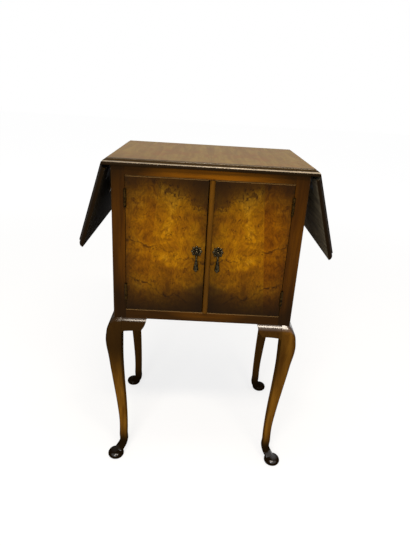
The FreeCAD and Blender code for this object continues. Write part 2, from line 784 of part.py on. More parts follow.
def knee_block(name):
    """A front knee block: an eared outline, swelling in front as the knee does."""
    inner = f"({HALF_WIDTH} - knee_inset - block_gap)"
    tip = f"({inner} - block_length)"
    foot = "(carcase_bottom - block_drop)"
    outline = [
        (inner, "carcase_bottom"), (tip, "carcase_bottom"),
        (tip, "carcase_bottom - block_tip"),
        (f"{tip} + block_sweep", f"{foot} + block_round"),
        (f"{tip} + block_sweep + block_round", foot), (inner, f"{foot} - block_arch"),
    ]
    # A full ear, a rounded lower corner and a shallow arch into the leg.
    arcs = {2: ("block_drop*1.4", 1), 3: ("block_round*1.2", 1),
            4: ("block_length*1.7", -1)}
    body = prism(name + "_scroll", outline, "block_depth + knee_out + 4",
                 f"{FRONT} - knee_out - 4", arcs)
    side = [(FRONT, "carcase_bottom"), (f"{FRONT} + block_depth", "carcase_bottom"),
            (f"{FRONT} + block_depth", "carcase_bottom - knee_drop"),
            (f"{FRONT} - knee_out", "carcase_bottom - knee_drop")]
    swell = prism(name + "_swell", side, "block_length + 4", f"{tip} - 2",
                  {3: (upright_arc("knee_out", "knee_drop"), -1)}, along="x")
    return common(name, [body, swell])


def make_knee_blocks():
    """Blocks that carry each knee into the carcase, in front and at the sides."""
    front = knee_block("knee_block_front")
    keep("knee_blocks_front", group("knee_blocks_front",
                                    [front, mirror("knee_block_fl", front, (1, 0, 0))]))
    # A side block is the front one reflected about the diagonal of the leg.
    side = doc.addObject("Part::Mirroring", "knee_block_side")
    side.Source = front
    side.Normal = (1, 1, 0)
    bind(side, "Base.x", HALF_WIDTH)
    bind(side, "Base.y", FRONT)
    both_sides("knee_blocks", group("knee_blocks_right",
                                    [side, mirror("knee_block_rr", side, (0, 1, 0))]))


# ---------------------------------------------------------------- doors
def door_blank(name, x0, x1, arris0, arris1):
    """A door board whose front edges lose their arrises."""
    plan = [(x0, DOOR_BACK), (x0, f"{FRONT} + {arris0}"), (f"{x0} + {arris0}", FRONT),
            (f"{x1} - {arris1}", FRONT), (x1, f"{FRONT} + {arris1}"), (x1, DOOR_BACK)]
    if arris0 == "0":
        del plan[2]
    side = [(DOOR_BACK, DOOR_FOOT), (DOOR_BACK, DOOR_HEAD),
            (f"{FRONT} + door_arris", DOOR_HEAD), (FRONT, f"{DOOR_HEAD} - door_arris"),
            (FRONT, f"{DOOR_FOOT} + door_arris"), (f"{FRONT} + door_arris", DOOR_FOOT)]
    return common(name, [
        prism(name + "_plan", plan, f"{DOOR_HEAD} - {DOOR_FOOT}", DOOR_FOOT, along="z"),
        prism(name + "_side", side, f"({x1}) - ({x0})", x0, along="x"),
    ])


def make_doors():
    """Two flush doors, let in for their hinges and bored for their pulls."""
    edge = f"({OPENING_SIDE} - door_gap)"
    # The right door's meeting edge stays square below the bead.
    right = door_blank("door_right_blank", RIGHT_EDGE, edge, "0", "door_arris")
    left = door_blank("door_left_blank", f"-{edge}", LEFT_EDGE, "door_arris", "door_arris")
    beds = [hinge_bed("door_bed", level, -1) for level in (-1, 1)]
    left_beds = [mirror(f"door_bed_left{number}", bed, (1, 0, 0))
                 for number, bed in enumerate(beds)]
    for name, board, tools, way in (("door_right", right, beds, 1),
                                    ("door_left", left, left_beds, -1)):
        bore = cylinder(name + "_bore", "stem_radius + pin_fit", "door_board + 2", "y",
                        pull_x(way), f"{FRONT} - 1", PULL_Z)
        keep(name, cut(name, board, tools + [bore]))
    half = "bead_width/2"
    # The bead's arcs are a little flatter than a true quarter, to stay solvable.
    bead = f"1.02*(({half})^2 + bead_proud^2)/(2*bead_proud)"
    body = doc.addObject("PartDesign::Body", "astragal")
    outline = sketch_on(body, "bead_outline", "XY_Plane", out=DOOR_FOOT)
    draw(outline, [(RIGHT_EDGE, FRONT), (f"{RIGHT_EDGE} + {half}", f"{FRONT} - bead_proud"),
                   (f"{RIGHT_EDGE} + bead_width", FRONT)],
         {0: (bead, 1), 1: (bead, 1)})
    pad(body, outline, f"{DOOR_HEAD} - {DOOR_FOOT}")
    keep("astragal", body)


# ---------------------------------------------------------------- pulls
PULL_Z = f"({OPENING_FOOT} + pull_height)"
BOSS_Y = f"({FRONT} - boss_reach)"


def pull_x(way):
    """The pulls stand either side of the bead."""
    return f"({RIGHT_EDGE} + pull_shift + {way}*pull_spacing/2)"


def rosette(name, x):
    """A pierced flower plate with eight petals round a raised collar."""
    body = doc.addObject("PartDesign::Body", name)
    disc = sketch_on(body, name + "_disc", "XZ_Plane", x, PULL_Z, f"-{FRONT}")
    circle(disc, "rosette_radius")
    pad(body, disc, "rosette_plate")
    petal = sketch_on(body, name + "_petal", "XZ_Plane", x, PULL_Z, f"-{FRONT}")
    circle(petal, "petal_radius", "rosette_radius")
    petal_pad = pad(body, petal, "rosette_plate")
    petals = body.newObject("PartDesign::PolarPattern", name + "_petals")
    petals.Originals = [petal_pad]
    petals.Axis = (disc, ["N_Axis"])
    petals.Angle = 360
    petals.Occurrences = 8
    body.Tip = petals
    collar = sketch_on(body, name + "_collar", "XZ_Plane", x, PULL_Z, f"-{FRONT}")
    circle(collar, "collar_radius")
    pad(body, collar, "rosette_plate + collar_height")
    hole = sketch_on(body, name + "_hole", "XZ_Plane", x, PULL_Z, f"-{FRONT} - 1")
    circle(hole, "stem_radius + pin_fit")
    drilled = body.newObject("PartDesign::Pocket", name + "_drilled")
    drilled.Profile = hole
    drilled.Reversed = True
    bind(drilled, "Length", "rosette_plate + collar_height + 2")
    return body


def circle(sketch, radius, up="0"):
    """A circle on a sketch's vertical axis."""
    centre = Vector(0, value(up), 0)
    sketch.addGeometry(Part.Circle(centre, Vector(0, 0, 1), value(radius)))
    size = sketch.addConstraint(Sketcher.Constraint("Radius", 0, value(radius)))
    bind(sketch, f"Constraints[{size}]", radius)
    if up == "0":
        sketch.addConstraint(Sketcher.Constraint("Coincident", 0, 3, -1, 1))
        return
    sketch.addConstraint(Sketcher.Constraint("PointOnObject", 0, 3, -2))
    height = sketch.addConstraint(Sketcher.Constraint("DistanceY", -1, 1, 0, 3, value(up)))
    bind(sketch, f"Constraints[{height}]", up)


def pull_post(name, x):
    """A ball boss on a stem through the door, slotted for the drop."""
    ball = doc.addObject("Part::Sphere", name + "_ball")
    bind(ball, "Radius", "boss_radius")
    place(ball, x, BOSS_Y, PULL_Z)
    stem = cylinder(name + "_stem", "stem_radius", f"{DOOR_BACK} - {BOSS_Y} + nut_height + 1",
                    "y", x, BOSS_Y, PULL_Z)
    slot = box(name + "_slot", f"{x} - slot_width/2", f"{x} + slot_width/2",
               f"{BOSS_Y} - boss_radius - 1", f"{BOSS_Y} + tongue_radius + 0.3",
               f"{PULL_Z} - boss_radius - 1", f"{PULL_Z} + tongue_radius + 0.3")
    slotted = cut(name + "_slotted", fuse(name + "_turned", [ball, stem]), [slot])
    pin = cylinder(name + "_pin", "cross_pin", "slot_width + 2", "x",
                   f"{x} - slot_width/2 - 1", BOSS_Y, PULL_Z)
    return fuse(name, [slotted, pin])


def pull_drop(name, x):
    """A pear drop: a turned body with a flat tongue that hangs on the pin."""
    body = doc.addObject("PartDesign::Body", name)
    turning = sketch_on(body, name + "_turning", "XZ_Plane", x, PULL_Z, f"-{BOSS_Y}")
    collar = "(boss_radius + 1.2)"
    points = [("0", f"-{collar}"), ("drop_neck*1.5", f"-{collar}"),
              ("drop_neck", f"-{collar} - 2.5"),
              ("drop_radius", "-drop_length + drop_radius"), ("0", "-drop_length")]
    draw(turning, points, {1: ("2.6", -1), 3: ("drop_radius*1.01", -1)})
    revolve(body, turning)
    tongue = box(name + "_tongue", f"{x} - tongue_width/2", f"{x} + tongue_width/2",
                 f"{BOSS_Y} - drop_neck", f"{BOSS_Y} + drop_neck",
                 f"{PULL_Z} - {collar} - 1", PULL_Z)
    eye = cylinder(name + "_eye", "tongue_radius", "tongue_width", "x",
                   f"{x} - tongue_width/2", BOSS_Y, PULL_Z)
    hole = cylinder(name + "_hole", "cross_pin + pin_fit", "tongue_width + 2", "x",
                    f"{x} - tongue_width/2 - 1", BOSS_Y, PULL_Z)
    return cut(name + "_bored", fuse(name + "_whole", [body, tongue, eye]), [hole])


def pull_nut(name, x):
    """A six-sided nut that draws the post tight from inside the door."""
    nut = doc.addObject("Part::Prism", name + "_hexagon")
    nut.Polygon = 6
    bind(nut, "Circumradius", "nut_width/sqrt(3)")
    bind(nut, "Height", "nut_height")
    nut.Placement = Placement(Vector(), TURN["y"])
    place(nut, x, DOOR_BACK, PULL_Z)
    hole = cylinder(name + "_hole", "stem_radius + pin_fit", "nut_height + 2", "y", x,
                    f"{DOOR_BACK} - 1", PULL_Z)
    return cut(name, nut, [hole])


def make_pulls():
    """One drop pull a door."""
    for side, way in (("right", 1), ("left", -1)):
        x = pull_x(way)
        keep(f"pull_rosette_{side}", rosette(f"pull_rosette_{side}", x))
        keep(f"pull_post_{side}", pull_post(f"pull_post_{side}", x))
        keep(f"pull_drop_{side}", pull_drop(f"pull_drop_{side}", x))
        keep(f"pull_nut_{side}", pull_nut(f"pull_nut_{side}", x))


def make_catches():
    """A magnetic catch below the stop and a steel plate on each door."""
    stop_foot = f"({OPENING_HEAD} - stop_reach)"
    plate_back = f"({DOOR_BACK} + catch_plate)"
    blocks = []
    for side, way in (("right", 1), ("left", -1)):
        x0 = f"({RIGHT_EDGE} + {way}*catch_from_edge - catch_length/2)"
        x1 = f"({x0} + catch_length)"
        blocks.append(box(f"catch_block_{side}", x0, x1, f"{plate_back} + catch_air",
                          f"{plate_back} + catch_air + catch_depth",
                          f"{stop_foot} - catch_height", stop_foot))
        keep(f"catch_plate_{side}", box(f"catch_plate_{side}", x0, x1, DOOR_BACK, plate_back,
                                        f"{stop_foot} - catch_height", f"{stop_foot} - 1"))
    keep("catch_blocks", group("catch_blocks", blocks))


# ---------------------------------------------------------------- build
def check_and_export():
    """Stop on any failed feature or bad shape, then write one file a piece."""
    doc.recompute()
    failed = [item.Label for item in doc.Objects
              if "Invalid" in item.State or "Error" in item.State]
    for name, feature in pieces.items():
        if feature.Shape.isNull() or not feature.Shape.isValid():
            failed.append(name)
        if not feature.Shape.Solids:
            failed.append(name + " has no solid")
    if failed:
        raise RuntimeError("failed: " + ", ".join(sorted(set(failed))))
    os.makedirs("parts", exist_ok=True)
    for name, feature in pieces.items():
        feature.Shape.exportStep(f"parts/{name}.step")
        print(f"{name}: {len(feature.Shape.Solids)} solid, {feature.Shape.Volume:.1f} mm3")


fill_sheet()
make_carcase()
make_stiles()
make_inside()
make_top()
make_leaves()
make_door_hinges()
make_leaf_hinges()
make_stays()
make_legs()
make_knee_blocks()
make_doors()
make_pulls()
make_catches()
check_and_export()
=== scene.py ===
"""Cellarette: the finish of a small drinks cabinet on cabriole legs.

Lengths are metres, X runs to the right, Y to the back and Z up, as in the
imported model. The sections follow the cabinet as it is put together.
"""

import bmesh
import bpy
import numpy as np
from mathutils import Matrix, Vector


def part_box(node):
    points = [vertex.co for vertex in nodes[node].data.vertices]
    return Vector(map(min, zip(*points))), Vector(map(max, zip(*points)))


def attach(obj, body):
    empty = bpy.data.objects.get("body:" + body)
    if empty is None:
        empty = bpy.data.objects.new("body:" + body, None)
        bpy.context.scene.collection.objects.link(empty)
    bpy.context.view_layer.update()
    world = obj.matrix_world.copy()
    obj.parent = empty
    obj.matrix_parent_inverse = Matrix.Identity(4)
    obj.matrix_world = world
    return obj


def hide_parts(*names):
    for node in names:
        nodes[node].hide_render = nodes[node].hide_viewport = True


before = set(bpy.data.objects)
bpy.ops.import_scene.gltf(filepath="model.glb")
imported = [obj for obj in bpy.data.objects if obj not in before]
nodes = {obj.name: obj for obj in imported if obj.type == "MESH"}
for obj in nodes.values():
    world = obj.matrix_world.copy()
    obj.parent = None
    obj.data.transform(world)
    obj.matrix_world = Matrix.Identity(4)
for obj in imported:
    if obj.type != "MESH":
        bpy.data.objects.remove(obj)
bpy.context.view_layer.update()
MM = 0.001

# ---------------------------------------------------------------------- camera
# The camera stands 0.9 m in front of the doors and a hand's breadth above the
# top, looks down at the cabinet and is held slightly askew, as by hand.
CAMERA_PLACE = Vector((-0.0192, -1.0696, 0.9015))
CAMERA_HEADING = -0.0208
CAMERA_TILT = 0.3899
CAMERA_ROLL = 0.0604
FOCAL_PIXELS = 451.2
IMAGE_HEIGHT = 546
SENSOR = 36.0

level_right = Vector((np.cos(CAMERA_HEADING), np.sin(CAMERA_HEADING), 0))
level_ahead = Vector((-np.sin(CAMERA_HEADING), np.cos(CAMERA_HEADING), 0))
upright = Vector((0, 0, 1))
ahead = np.cos(CAMERA_TILT) * level_ahead - np.sin(CAMERA_TILT) * upright
level_up = np.sin(CAMERA_TILT) * level_ahead + np.cos(CAMERA_TILT) * upright
right = np.cos(CAMERA_ROLL) * level_right + np.sin(CAMERA_ROLL) * level_up
up = -np.sin(CAMERA_ROLL) * level_right + np.cos(CAMERA_ROLL) * level_up


def shown(name, data):
    """A new object in the scene, made of a mesh, a lamp or a camera."""
    made = bpy.data.objects.new(name, data)
    bpy.context.scene.collection.objects.link(made)
    return made


camera = shown("camera", bpy.data.cameras.new("camera"))
camera.data.sensor_width = SENSOR
camera.data.lens = SENSOR * FOCAL_PIXELS / IMAGE_HEIGHT
turn = Matrix((right, up, -ahead)).transposed().to_4x4()
camera.matrix_world = Matrix.Translation(CAMERA_PLACE) @ turn
bpy.context.scene.camera = camera

# ------------------------------------------------------------------ face frame
# Stiles and rails of solid English walnut, planed square, dowelled and glued,
# then French polished over a stain. Towards the corners the colour is darker,
# as that stain and as painted shade where the light falls off from the middle.
BAND_WIDTH = 9 * MM
PORE_WIDTH = 1.1 * MM
PORE_DEPTH = 0.2 * MM
BAND_RANGE = (0.3, 0.72)
PORE_RANGE = (0.62, 0.75)
ROUGH_CHANGE = 0.08
CLOUD_WIDTH = 70 * MM
ALONG_GRAIN = 0.06
PORE_COLOUR = "#1c0f04"
POLISH_TINT = "#ffd9a8"
# Pale arrises: worn to bare wood, and a painted highlight where they catch the light.
ARRIS_WEAR_AND_HIGHLIGHT = "#5f4829"
# Colour, deepest share and reach of the darker corners: a stain, and painted shade where the
# light painted on the middle of the front falls off.
CORNER_STAIN_AND_SHADE = "#120903"
DEEPEST_STAIN = 0.86
FRAME_MIDDLE = (11 * MM, 600 * MM)
FRAME_REACH = (185 * MM, 170 * MM)


def linear(colour):
    """Turn an sRGB hex colour into the linear RGBA that a shader takes."""
    part = np.array([int(colour[i:i + 2], 16) for i in (1, 3, 5)]) / 255
    flat = np.where(part <= 0.04045, part / 12.92, ((part + 0.055) / 1.055) ** 2.4)
    return (*flat.tolist(), 1.0)


def fill(tree, node, inputs):
    """Give a node its inputs, each a socket to link, a hex colour or a number."""
    for place, source in inputs.items():
        if isinstance(source, bpy.types.NodeSocket):
            tree.links.new(source, node.inputs[place])
        else:
            value = linear(source) if isinstance(source, str) else source
            node.inputs[place].default_value = value


def add(tree, kind, inputs=None, out=0, stops=(), **settings):
    """Add a node with its settings and links, and return one of its outputs.

    Inputs go by place or by name. Map Range has the value at 0, its range at
    1 and 2 and the new range at 3 and 4; Mix has the share at 0, its numbers
    at 2 and 3 and its colours at 6 and 7.
    """
    made = tree.nodes.new("ShaderNode" + kind)
    for name, setting in settings.items():
        setattr(made, name, setting)
    fill(tree, made, inputs or {})
    for number, (position, colour) in enumerate(stops):
        if number > 1:
            made.color_ramp.elements.new(position)
        made.color_ramp.elements[number].position = position
        made.color_ramp.elements[number].color = linear(colour)
    return made.outputs[out]


SMOOTH = {"interpolation_type": "SMOOTHSTEP"}
COLOUR = {"data_type": "RGBA", "out": 2}
TINT = {"data_type": "RGBA", "blend_type": "MULTIPLY", "out": 2}
TIMES = {"operation": "MULTIPLY"}
TIMES_PLUS = {"operation": "MULTIPLY_ADD"}
LARGER = {"operation": "MAXIMUM"}
UNSIGNED = {"operation": "ABSOLUTE"}


def layer(tree, wood, guide, start, end, most, colour):
    """Lay a colour over the wood, up to most, as the guide goes from start to end."""
    share = add(tree, "MapRange", {0: guide, 1: start, 2: end, 4: most}, **SMOOTH)
    return add(tree, "Mix", {0: share, 6: wood, 7: colour}, **COLOUR)


def new_material(name):
    """A new material: its node tree, its shader and the place on the object."""
    material = bpy.data.materials.new(name)
    material.use_nodes = True
    tree = material.node_tree
    where = add(tree, "TexCoord", out="Object")
    return material, tree, tree.nodes["Principled BSDF"], where


def outward(tree, where, middle, reach, power):
    """How far a point of an upright panel lies from the panel's middle.

    The sideways distance and the height, each over its reach and raised to the
    power, are added up.
    """
    total = 0.0
    for axis, centre, span in zip(("X", "Z"), middle, reach):
        line = add(tree, "SeparateXYZ", {0: where}, out=axis)
        share = add(tree, "Math", {0: line, 1: 1 / span, 2: -centre / span}, **TIMES_PLUS)
        share = add(tree, "Math", {0: share}, **UNSIGNED)
        share = add(tree, "Math", {0: share, 1: power}, operation="POWER")
        total = add(tree, "Math", {0: share, 1: total})
    return total


# Where the arrises are painted pale, as wear and as a painted highlight.
def arris(tree):
    """1 on a lying arris, 0.2 on a standing one and 0 on a square face.

    The sizes of the normal's three parts add up to 1 on a square face and to
    1.41 on an arris; on a lying one the upward part is not nil.
    """
    normal = add(tree, "TexCoord", out="Normal")
    parts = add(tree, "VectorMath", {0: normal}, **UNSIGNED)
    total = add(tree, "VectorMath", {0: parts, 1: (1.0, 1.0, 1.0)}, out="Value",
                operation="DOT_PRODUCT")
    leaning = add(tree, "MapRange", {0: total, 1: 1.2, 2: 1.35})
    lying = add(tree, "SeparateXYZ", {0: parts}, out="Z")
    lying = add(tree, "MapRange", {0: lying, 1: 0.3, 2: 0.6, 3: 0.2, 4: 1.0})
    return add(tree, "Math", {0: leaning, 1: lying}, **TIMES)


def walnut(name, grain, pale, deep, toned_and_shaded=None, rough=0.3, shine=0.07):
    """Straight-grained walnut under French polish, which shines warm and softly.

    Bands 9 mm apart and pores follow the grain. A pore is a dark dash about
    1 mm wide, coarser than life so that it shows. Toned wood darkens outwards
    from one share of the frame's reach to another, as a stain and as painted
    shade where the light falls off from the middle of the front. Its lying
    arrises are painted pale, as wear through to bare wood and as a painted
    highlight, and its standing ones a fifth as much.
    """
    material, tree, surface, where = new_material(name)
    squeeze = [ALONG_GRAIN if axis == grain else 1.0 for axis in "XYZ"]
    along = add(tree, "VectorMath", {0: where, 1: squeeze}, **TIMES)
    band = add(tree, "TexNoise", {"Vector": along, "Scale": 1 / BAND_WIDTH, "Detail": 5.0,
                                  "Roughness": 0.6, "Distortion": 0.35})
    pore = add(tree, "TexNoise", {"Vector": along, "Scale": 1 / PORE_WIDTH})
    cloud = add(tree, "TexNoise", {"Vector": where, "Scale": 1 / CLOUD_WIDTH})
    wood = layer(tree, deep, band, *BAND_RANGE, 1.0, pale)
    wood = layer(tree, wood, pore, *PORE_RANGE, 0.5, PORE_COLOUR)
    shade = add(tree, "Mix", {0: cloud, 6: "#c0b8b0", 7: "#ffffff"}, **COLOUR)
    wood = add(tree, "Mix", {0: 1.0, 6: wood, 7: shade}, **TINT)
    if toned_and_shaded:
        share = outward(tree, where, FRAME_MIDDLE, FRAME_REACH, 2.0)
        share = add(tree, "MapRange", {0: share, 1: toned_and_shaded[0], 2: toned_and_shaded[1]})
        share = add(tree, "Math", {0: share, 1: DEEPEST_STAIN}, operation="MINIMUM")
        # Painted shade towards the corners, over the darker stain there.
        wood = add(tree, "Mix", {0: share, 6: wood, 7: CORNER_STAIN_AND_SHADE}, **COLOUR)
        # Painted highlight, with wear, along the lying arrises.
        wood = add(tree, "Mix", {0: arris(tree), 6: wood, 7: ARRIS_WEAR_AND_HIGHLIGHT}, **COLOUR)
    smooth = add(tree, "MapRange", {0: band, 3: rough + ROUGH_CHANGE,
                                    4: rough - ROUGH_CHANGE})
    rise = add(tree, "Bump", {"Strength": 0.2, "Distance": PORE_DEPTH, "Height": pore})
    fill(tree, surface, {"Base Color": wood, "Roughness": smooth, "Normal": rise,
                         "Specular IOR Level": shine, "Specular Tint": POLISH_TINT})
    return material


def finish(material, *names):
    """Give CAD nodes a material in each of their slots."""
    for name in names:
        for place in nodes[name].material_slots:
            place.material = material


finish(walnut("walnut_stile", "Z", "#4f2d03", "#391e03", toned_and_shaded=(1.03, 2.0)),
       "stile_left", "stile_right")
finish(walnut("walnut_rail", "X", "#7d4b05", "#5d3603", toned_and_shaded=(0.62, 1.5)),
       "top_rail", "bottom_rail")

# -------------------------------------------------------------- sides and back
# Pine boards veneered with straight walnut and polished; the back is a thin
# board, stained brown, unpolished and matt.
finish(walnut("walnut_side_veneer", "Z", "#5f3808", "#432405", rough=0.45, shine=0.03),
       "side_board_left", "side_board_right")
finish(walnut("stained_back_board", "Z", "#5b4126", "#452e18", rough=0.8, shine=0.1),
       "back_board")

# ---------------------------------------------------------------------- inside
# Floor, shelf, bearers, stop and rear rail of plain mahogany, oiled and matt.
finish(walnut("oiled_mahogany", "X", "#7a4a2c", "#5e341c", rough=0.55, shine=0.1),
       "floor_board", "shelf", "shelf_bearers", "door_stop", "rear_rail")

# -------------------------------------------------------- legs and knee blocks
# Cabriole legs and their glued-on knee blocks, bandsawn and shaped from solid
# walnut. Their colour is painted amber where they face the front, as painted
# light, and dark at the knees, as painted shade under the carcase; the feet
# are stained darker, and knees and feet took the most polish.
HALF_WIDTH = 202 * MM
FRONT = -155 * MM
CARCASE_BOTTOM = 405 * MM
KNEE_OUT = 17 * MM
KNEE_DROP = 38 * MM
KNEE_HEIGHT = CARCASE_BOTTOM - KNEE_DROP
KNEE_INSET = 18.5 * MM
KNEE_CORNER = 8 * MM
ANKLE_HEIGHT = 92 * MM
ANKLE_OUT = -6 * MM
ANKLE_INSET = 25.8 * MM
# Below the ankle: the height, and how far the outer and the inner faces stand
# from the case's corner. Then the inner corners' radius at all eleven heights,
# and the levels that the skin is worked out at.
FOOT_LEVELS = np.array([(60, -5.55, 25.53), (28, -3, 24), (9.6, 11, 12)]) * MM
CORNER_RADII = np.array([1, 1, 1, 1, 7.5, 7, 6.5, 6, 6, 6, 6]) * MM
SKIN_LEVELS = np.concatenate((np.linspace(405, 340, 24), np.linspace(335, 60, 40),
                              np.linspace(56, 9.6, 16))) * MM
FOOT_OUT = 2 * MM
PAD_RADIUS = 20 * MM
PAD_BELLY = 7.2 * MM
PAD_SHOULDER = 16 * MM
SOLE_ROUND = 7.68 * MM
BELLY_ROUND = 9.453 * MM
PAD_CONE = np.array([(9.5, 16.96), (5, 17.93)]) * MM
BLOCK_GAP = 0.2 * MM
BLOCK_LENGTH = 55.5 * MM
BLOCK_DROP = 25.5 * MM
BLOCK_ARCH = 7.5 * MM
BLOCK_BACK = FRONT + 18 * MM
EAR_RADIUS = BLOCK_DROP * 1.4
ARRIS = 1.2 * MM
SHARP_EDGE = np.radians(32)
MERGED = 0.001 * MM
LEG_BAND_WIDTH = 10 * MM
LEG_ALONG_GRAIN = 0.08
# The dark stain, which also stands as painted shade wherever the wood is not painted lighter.
LEG_STAIN_AND_SHADE = "#261808"
FOOT_COLOUR = "#100a04"
# From where to where each finish changes: distances from the middle and heights.
# Past CORNER_REACH a knee's outer corner keeps its painted light; over KNEE_SHADE the leg goes
# up into painted shade under the carcase.
CORNER_REACH = (175 * MM, 205 * MM)
KNEE_SHADE = (180 * MM, 340 * MM)
FOOT_SHADE = (100 * MM, 30 * MM)
FOOT_STAIN = (70 * MM, 35 * MM)
GLOSS_REACH = (155 * MM, 195 * MM)
PAD_GLOSS_HEIGHT = (18 * MM, 15.5 * MM)
PAD_GLOSS_FACING = (0.0, -0.69, 0.72)


def leg_walnut(name, rubbed, knee_light_share, dusted, shoulder, corner_kept):
    """Walnut with upright grain, stained dark and painted amber in front.

    The amber is painted light and the dark stain around it painted shade. How
    much amber a point gets follows how squarely it faces forwards, or less so
    outwards or back; it is less at the knee, in painted shade under the
    carcase, and less towards the foot. A duster has given the knee a hard
    gloss where it faces upwards by more than the shoulder's cosine, most of it
    towards the middle of the cabinet, and each pad a glossy patch in front.
    """
    material, tree, surface, where = new_material(name)
    normal = add(tree, "TexCoord", out="Normal")
    aside, height = (add(tree, "SeparateXYZ", {0: where}, out=axis) for axis in "XZ")
    sideways, forward, upward = (add(tree, "SeparateXYZ", {0: normal}, out=axis)
                                 for axis in "XYZ")
    along = add(tree, "VectorMath", {0: where, 1: (1.0, 1.0, LEG_ALONG_GRAIN)}, **TIMES)
    band = add(tree, "TexNoise", {"Vector": along, "Scale": 1 / LEG_BAND_WIDTH,
                                  "Detail": 5.0, "Roughness": 0.6, "Distortion": 0.3})
    pore = add(tree, "TexNoise", {"Vector": along, "Scale": 1 / PORE_WIDTH})
    wood = layer(tree, "#4d2f0a", band, *BAND_RANGE, 1.0, "#6c4814")
    wood = layer(tree, wood, pore, *PORE_RANGE, 0.4, PORE_COLOUR)
    aside = add(tree, "Math", {0: aside}, **UNSIGNED)
    knee = add(tree, "MapRange", {0: aside, 1: CORNER_REACH[0], 2: CORNER_REACH[1],
                                  3: knee_light_share / 4, 4: knee_light_share}, **SMOOTH)
    knee = add(tree, "MapRange", {0: height, 1: KNEE_SHADE[0], 2: KNEE_SHADE[1],
                                  3: 1.0, 4: knee}, **SMOOTH)
    foot = add(tree, "MapRange", {0: height, 1: FOOT_SHADE[0], 2: FOOT_SHADE[1],
                                  3: 1.0, 4: 0.1}, **SMOOTH)
    # Painted light by facing: most on faces turned forwards, less on those turned sideways or
    # back.
    front = add(tree, "MapRange", {0: forward, 1: -0.25, 2: -0.9, 3: 0.0, 4: rubbed}, **SMOOTH)
    sideways = add(tree, "Math", {0: sideways}, **UNSIGNED)
    flank = add(tree, "MapRange", {0: sideways, 1: 0.85, 2: 0.99, 4: 0.7}, **SMOOTH)
    rear = add(tree, "MapRange", {0: forward, 1: 0.7, 2: 0.97, 4: 0.5}, **SMOOTH)
    front = add(tree, "Math", {0: front, 1: flank}, **LARGER)
    front = add(tree, "Math", {0: front, 1: rear}, **LARGER)
    share = add(tree, "Math", {0: front, 1: knee}, **TIMES)
    share = add(tree, "Math", {0: share, 1: foot}, **TIMES)
    # Painted light and shade: the amber wood where light is painted, the dark stain elsewhere.
    wood = add(tree, "Mix", {0: share, 6: LEG_STAIN_AND_SHADE, 7: wood}, **COLOUR)
    wood = layer(tree, wood, height, *FOOT_STAIN, 0.85, FOOT_COLOUR)
    top = add(tree, "MapRange", {0: upward, 1: shoulder, 2: shoulder + 0.1, 4: dusted}, **SMOOTH)
    kept = add(tree, "MapRange", {0: aside, 1: GLOSS_REACH[0], 2: GLOSS_REACH[1],
                                  3: 1.0, 4: corner_kept}, **SMOOTH)
    top = add(tree, "Math", {0: top, 1: kept}, **TIMES)
    patch = add(tree, "VectorMath", {0: normal, 1: PAD_GLOSS_FACING}, out="Value",
                operation="DOT_PRODUCT")
    patch = add(tree, "MapRange", {0: patch, 1: 0.9, 2: 0.95, 4: min(1.0, 1.4 * dusted)},
                **SMOOTH)
    low = add(tree, "MapRange", {0: height, 1: PAD_GLOSS_HEIGHT[0],
                                 2: PAD_GLOSS_HEIGHT[1]}, **SMOOTH)
    gloss = add(tree, "Mix", {0: low, 2: top, 3: patch})
    fill(tree, surface, {"Base Color": wood, "Roughness": 0.55, "Coat Weight": gloss,
                         "Coat Roughness": 0.16, "Specular IOR Level": 0.0,
                         "Specular Tint": POLISH_TINT})
    return material


def carved(name, shells, body, material):
    """A smooth piece from one or more lattices of points, rows by columns.

    Neighbours in both ways make quads, the last column meets the first, and
    the first and last rows close on their middles. Edges sharper than
    SHARP_EDGE stay sharp.
    """
    points, quads, start = [], [], 0
    for shell in shells:
        ends = shell[[0, -1]].mean(axis=1, keepdims=True) + 0 * shell[[0, -1]]
        shell = np.concatenate((ends[:1], shell, ends[1:]))
        rows, columns = shell.shape[:2]
        place = np.arange(rows * columns).reshape(rows, columns) + start
        beside = np.roll(place, -1, axis=1)
        quad = np.stack((place[:-1], beside[:-1], beside[1:], place[1:]), axis=-1)
        points.append(shell.reshape(-1, 3))
        quads.append(quad.reshape(-1, 4))
        start += rows * columns
    mesh = bpy.data.meshes.new(name)
    mesh.from_pydata(np.concatenate(points).tolist(), [], np.concatenate(quads).tolist())
    shell = bmesh.new()
    shell.from_mesh(mesh)
    bmesh.ops.remove_doubles(shell, verts=shell.verts, dist=MERGED)
    bmesh.ops.recalc_face_normals(shell, faces=shell.faces)
    shell.to_mesh(mesh)
    shell.free()
    mesh.shade_smooth()
    mesh.set_sharp_from_angle(angle=SHARP_EDGE)
    mesh.materials.append(material)
    piece = shown(name, mesh)
    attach(piece, body)
    return piece


def lattice(across, depth, level):
    """Rows by columns of points, from arrays that broadcast together."""
    return np.stack(np.broadcast_arrays(across, depth, level), axis=-1)


def swell(height):
    """How far the knee stands out at a height: an arc that is upright at the knee."""
    radius = (KNEE_OUT ** 2 + KNEE_DROP ** 2) / (2 * KNEE_OUT)
    return KNEE_OUT - radius + np.sqrt(radius ** 2 - (height - KNEE_HEIGHT) ** 2)


def eased(height, heights, values):
    """A smooth curve through values at falling heights.

    Between two heights it is the cubic whose slope at each is that of the
    line through the neighbours on either side.
    """
    slopes = np.gradient(values, heights)
    place = np.clip(np.searchsorted(-heights, -height) - 1, 0, len(heights) - 2)
    span = heights[place + 1] - heights[place]
    part = (height - heights[place]) / span
    low, high = values[place], values[place + 1]
    return (low * (1 + 2 * part) * (1 - part) ** 2 + high * part ** 2 * (3 - 2 * part)
            + span * part * (1 - part) * (slopes[place] * (1 - part)
                                          - slopes[place + 1] * part))


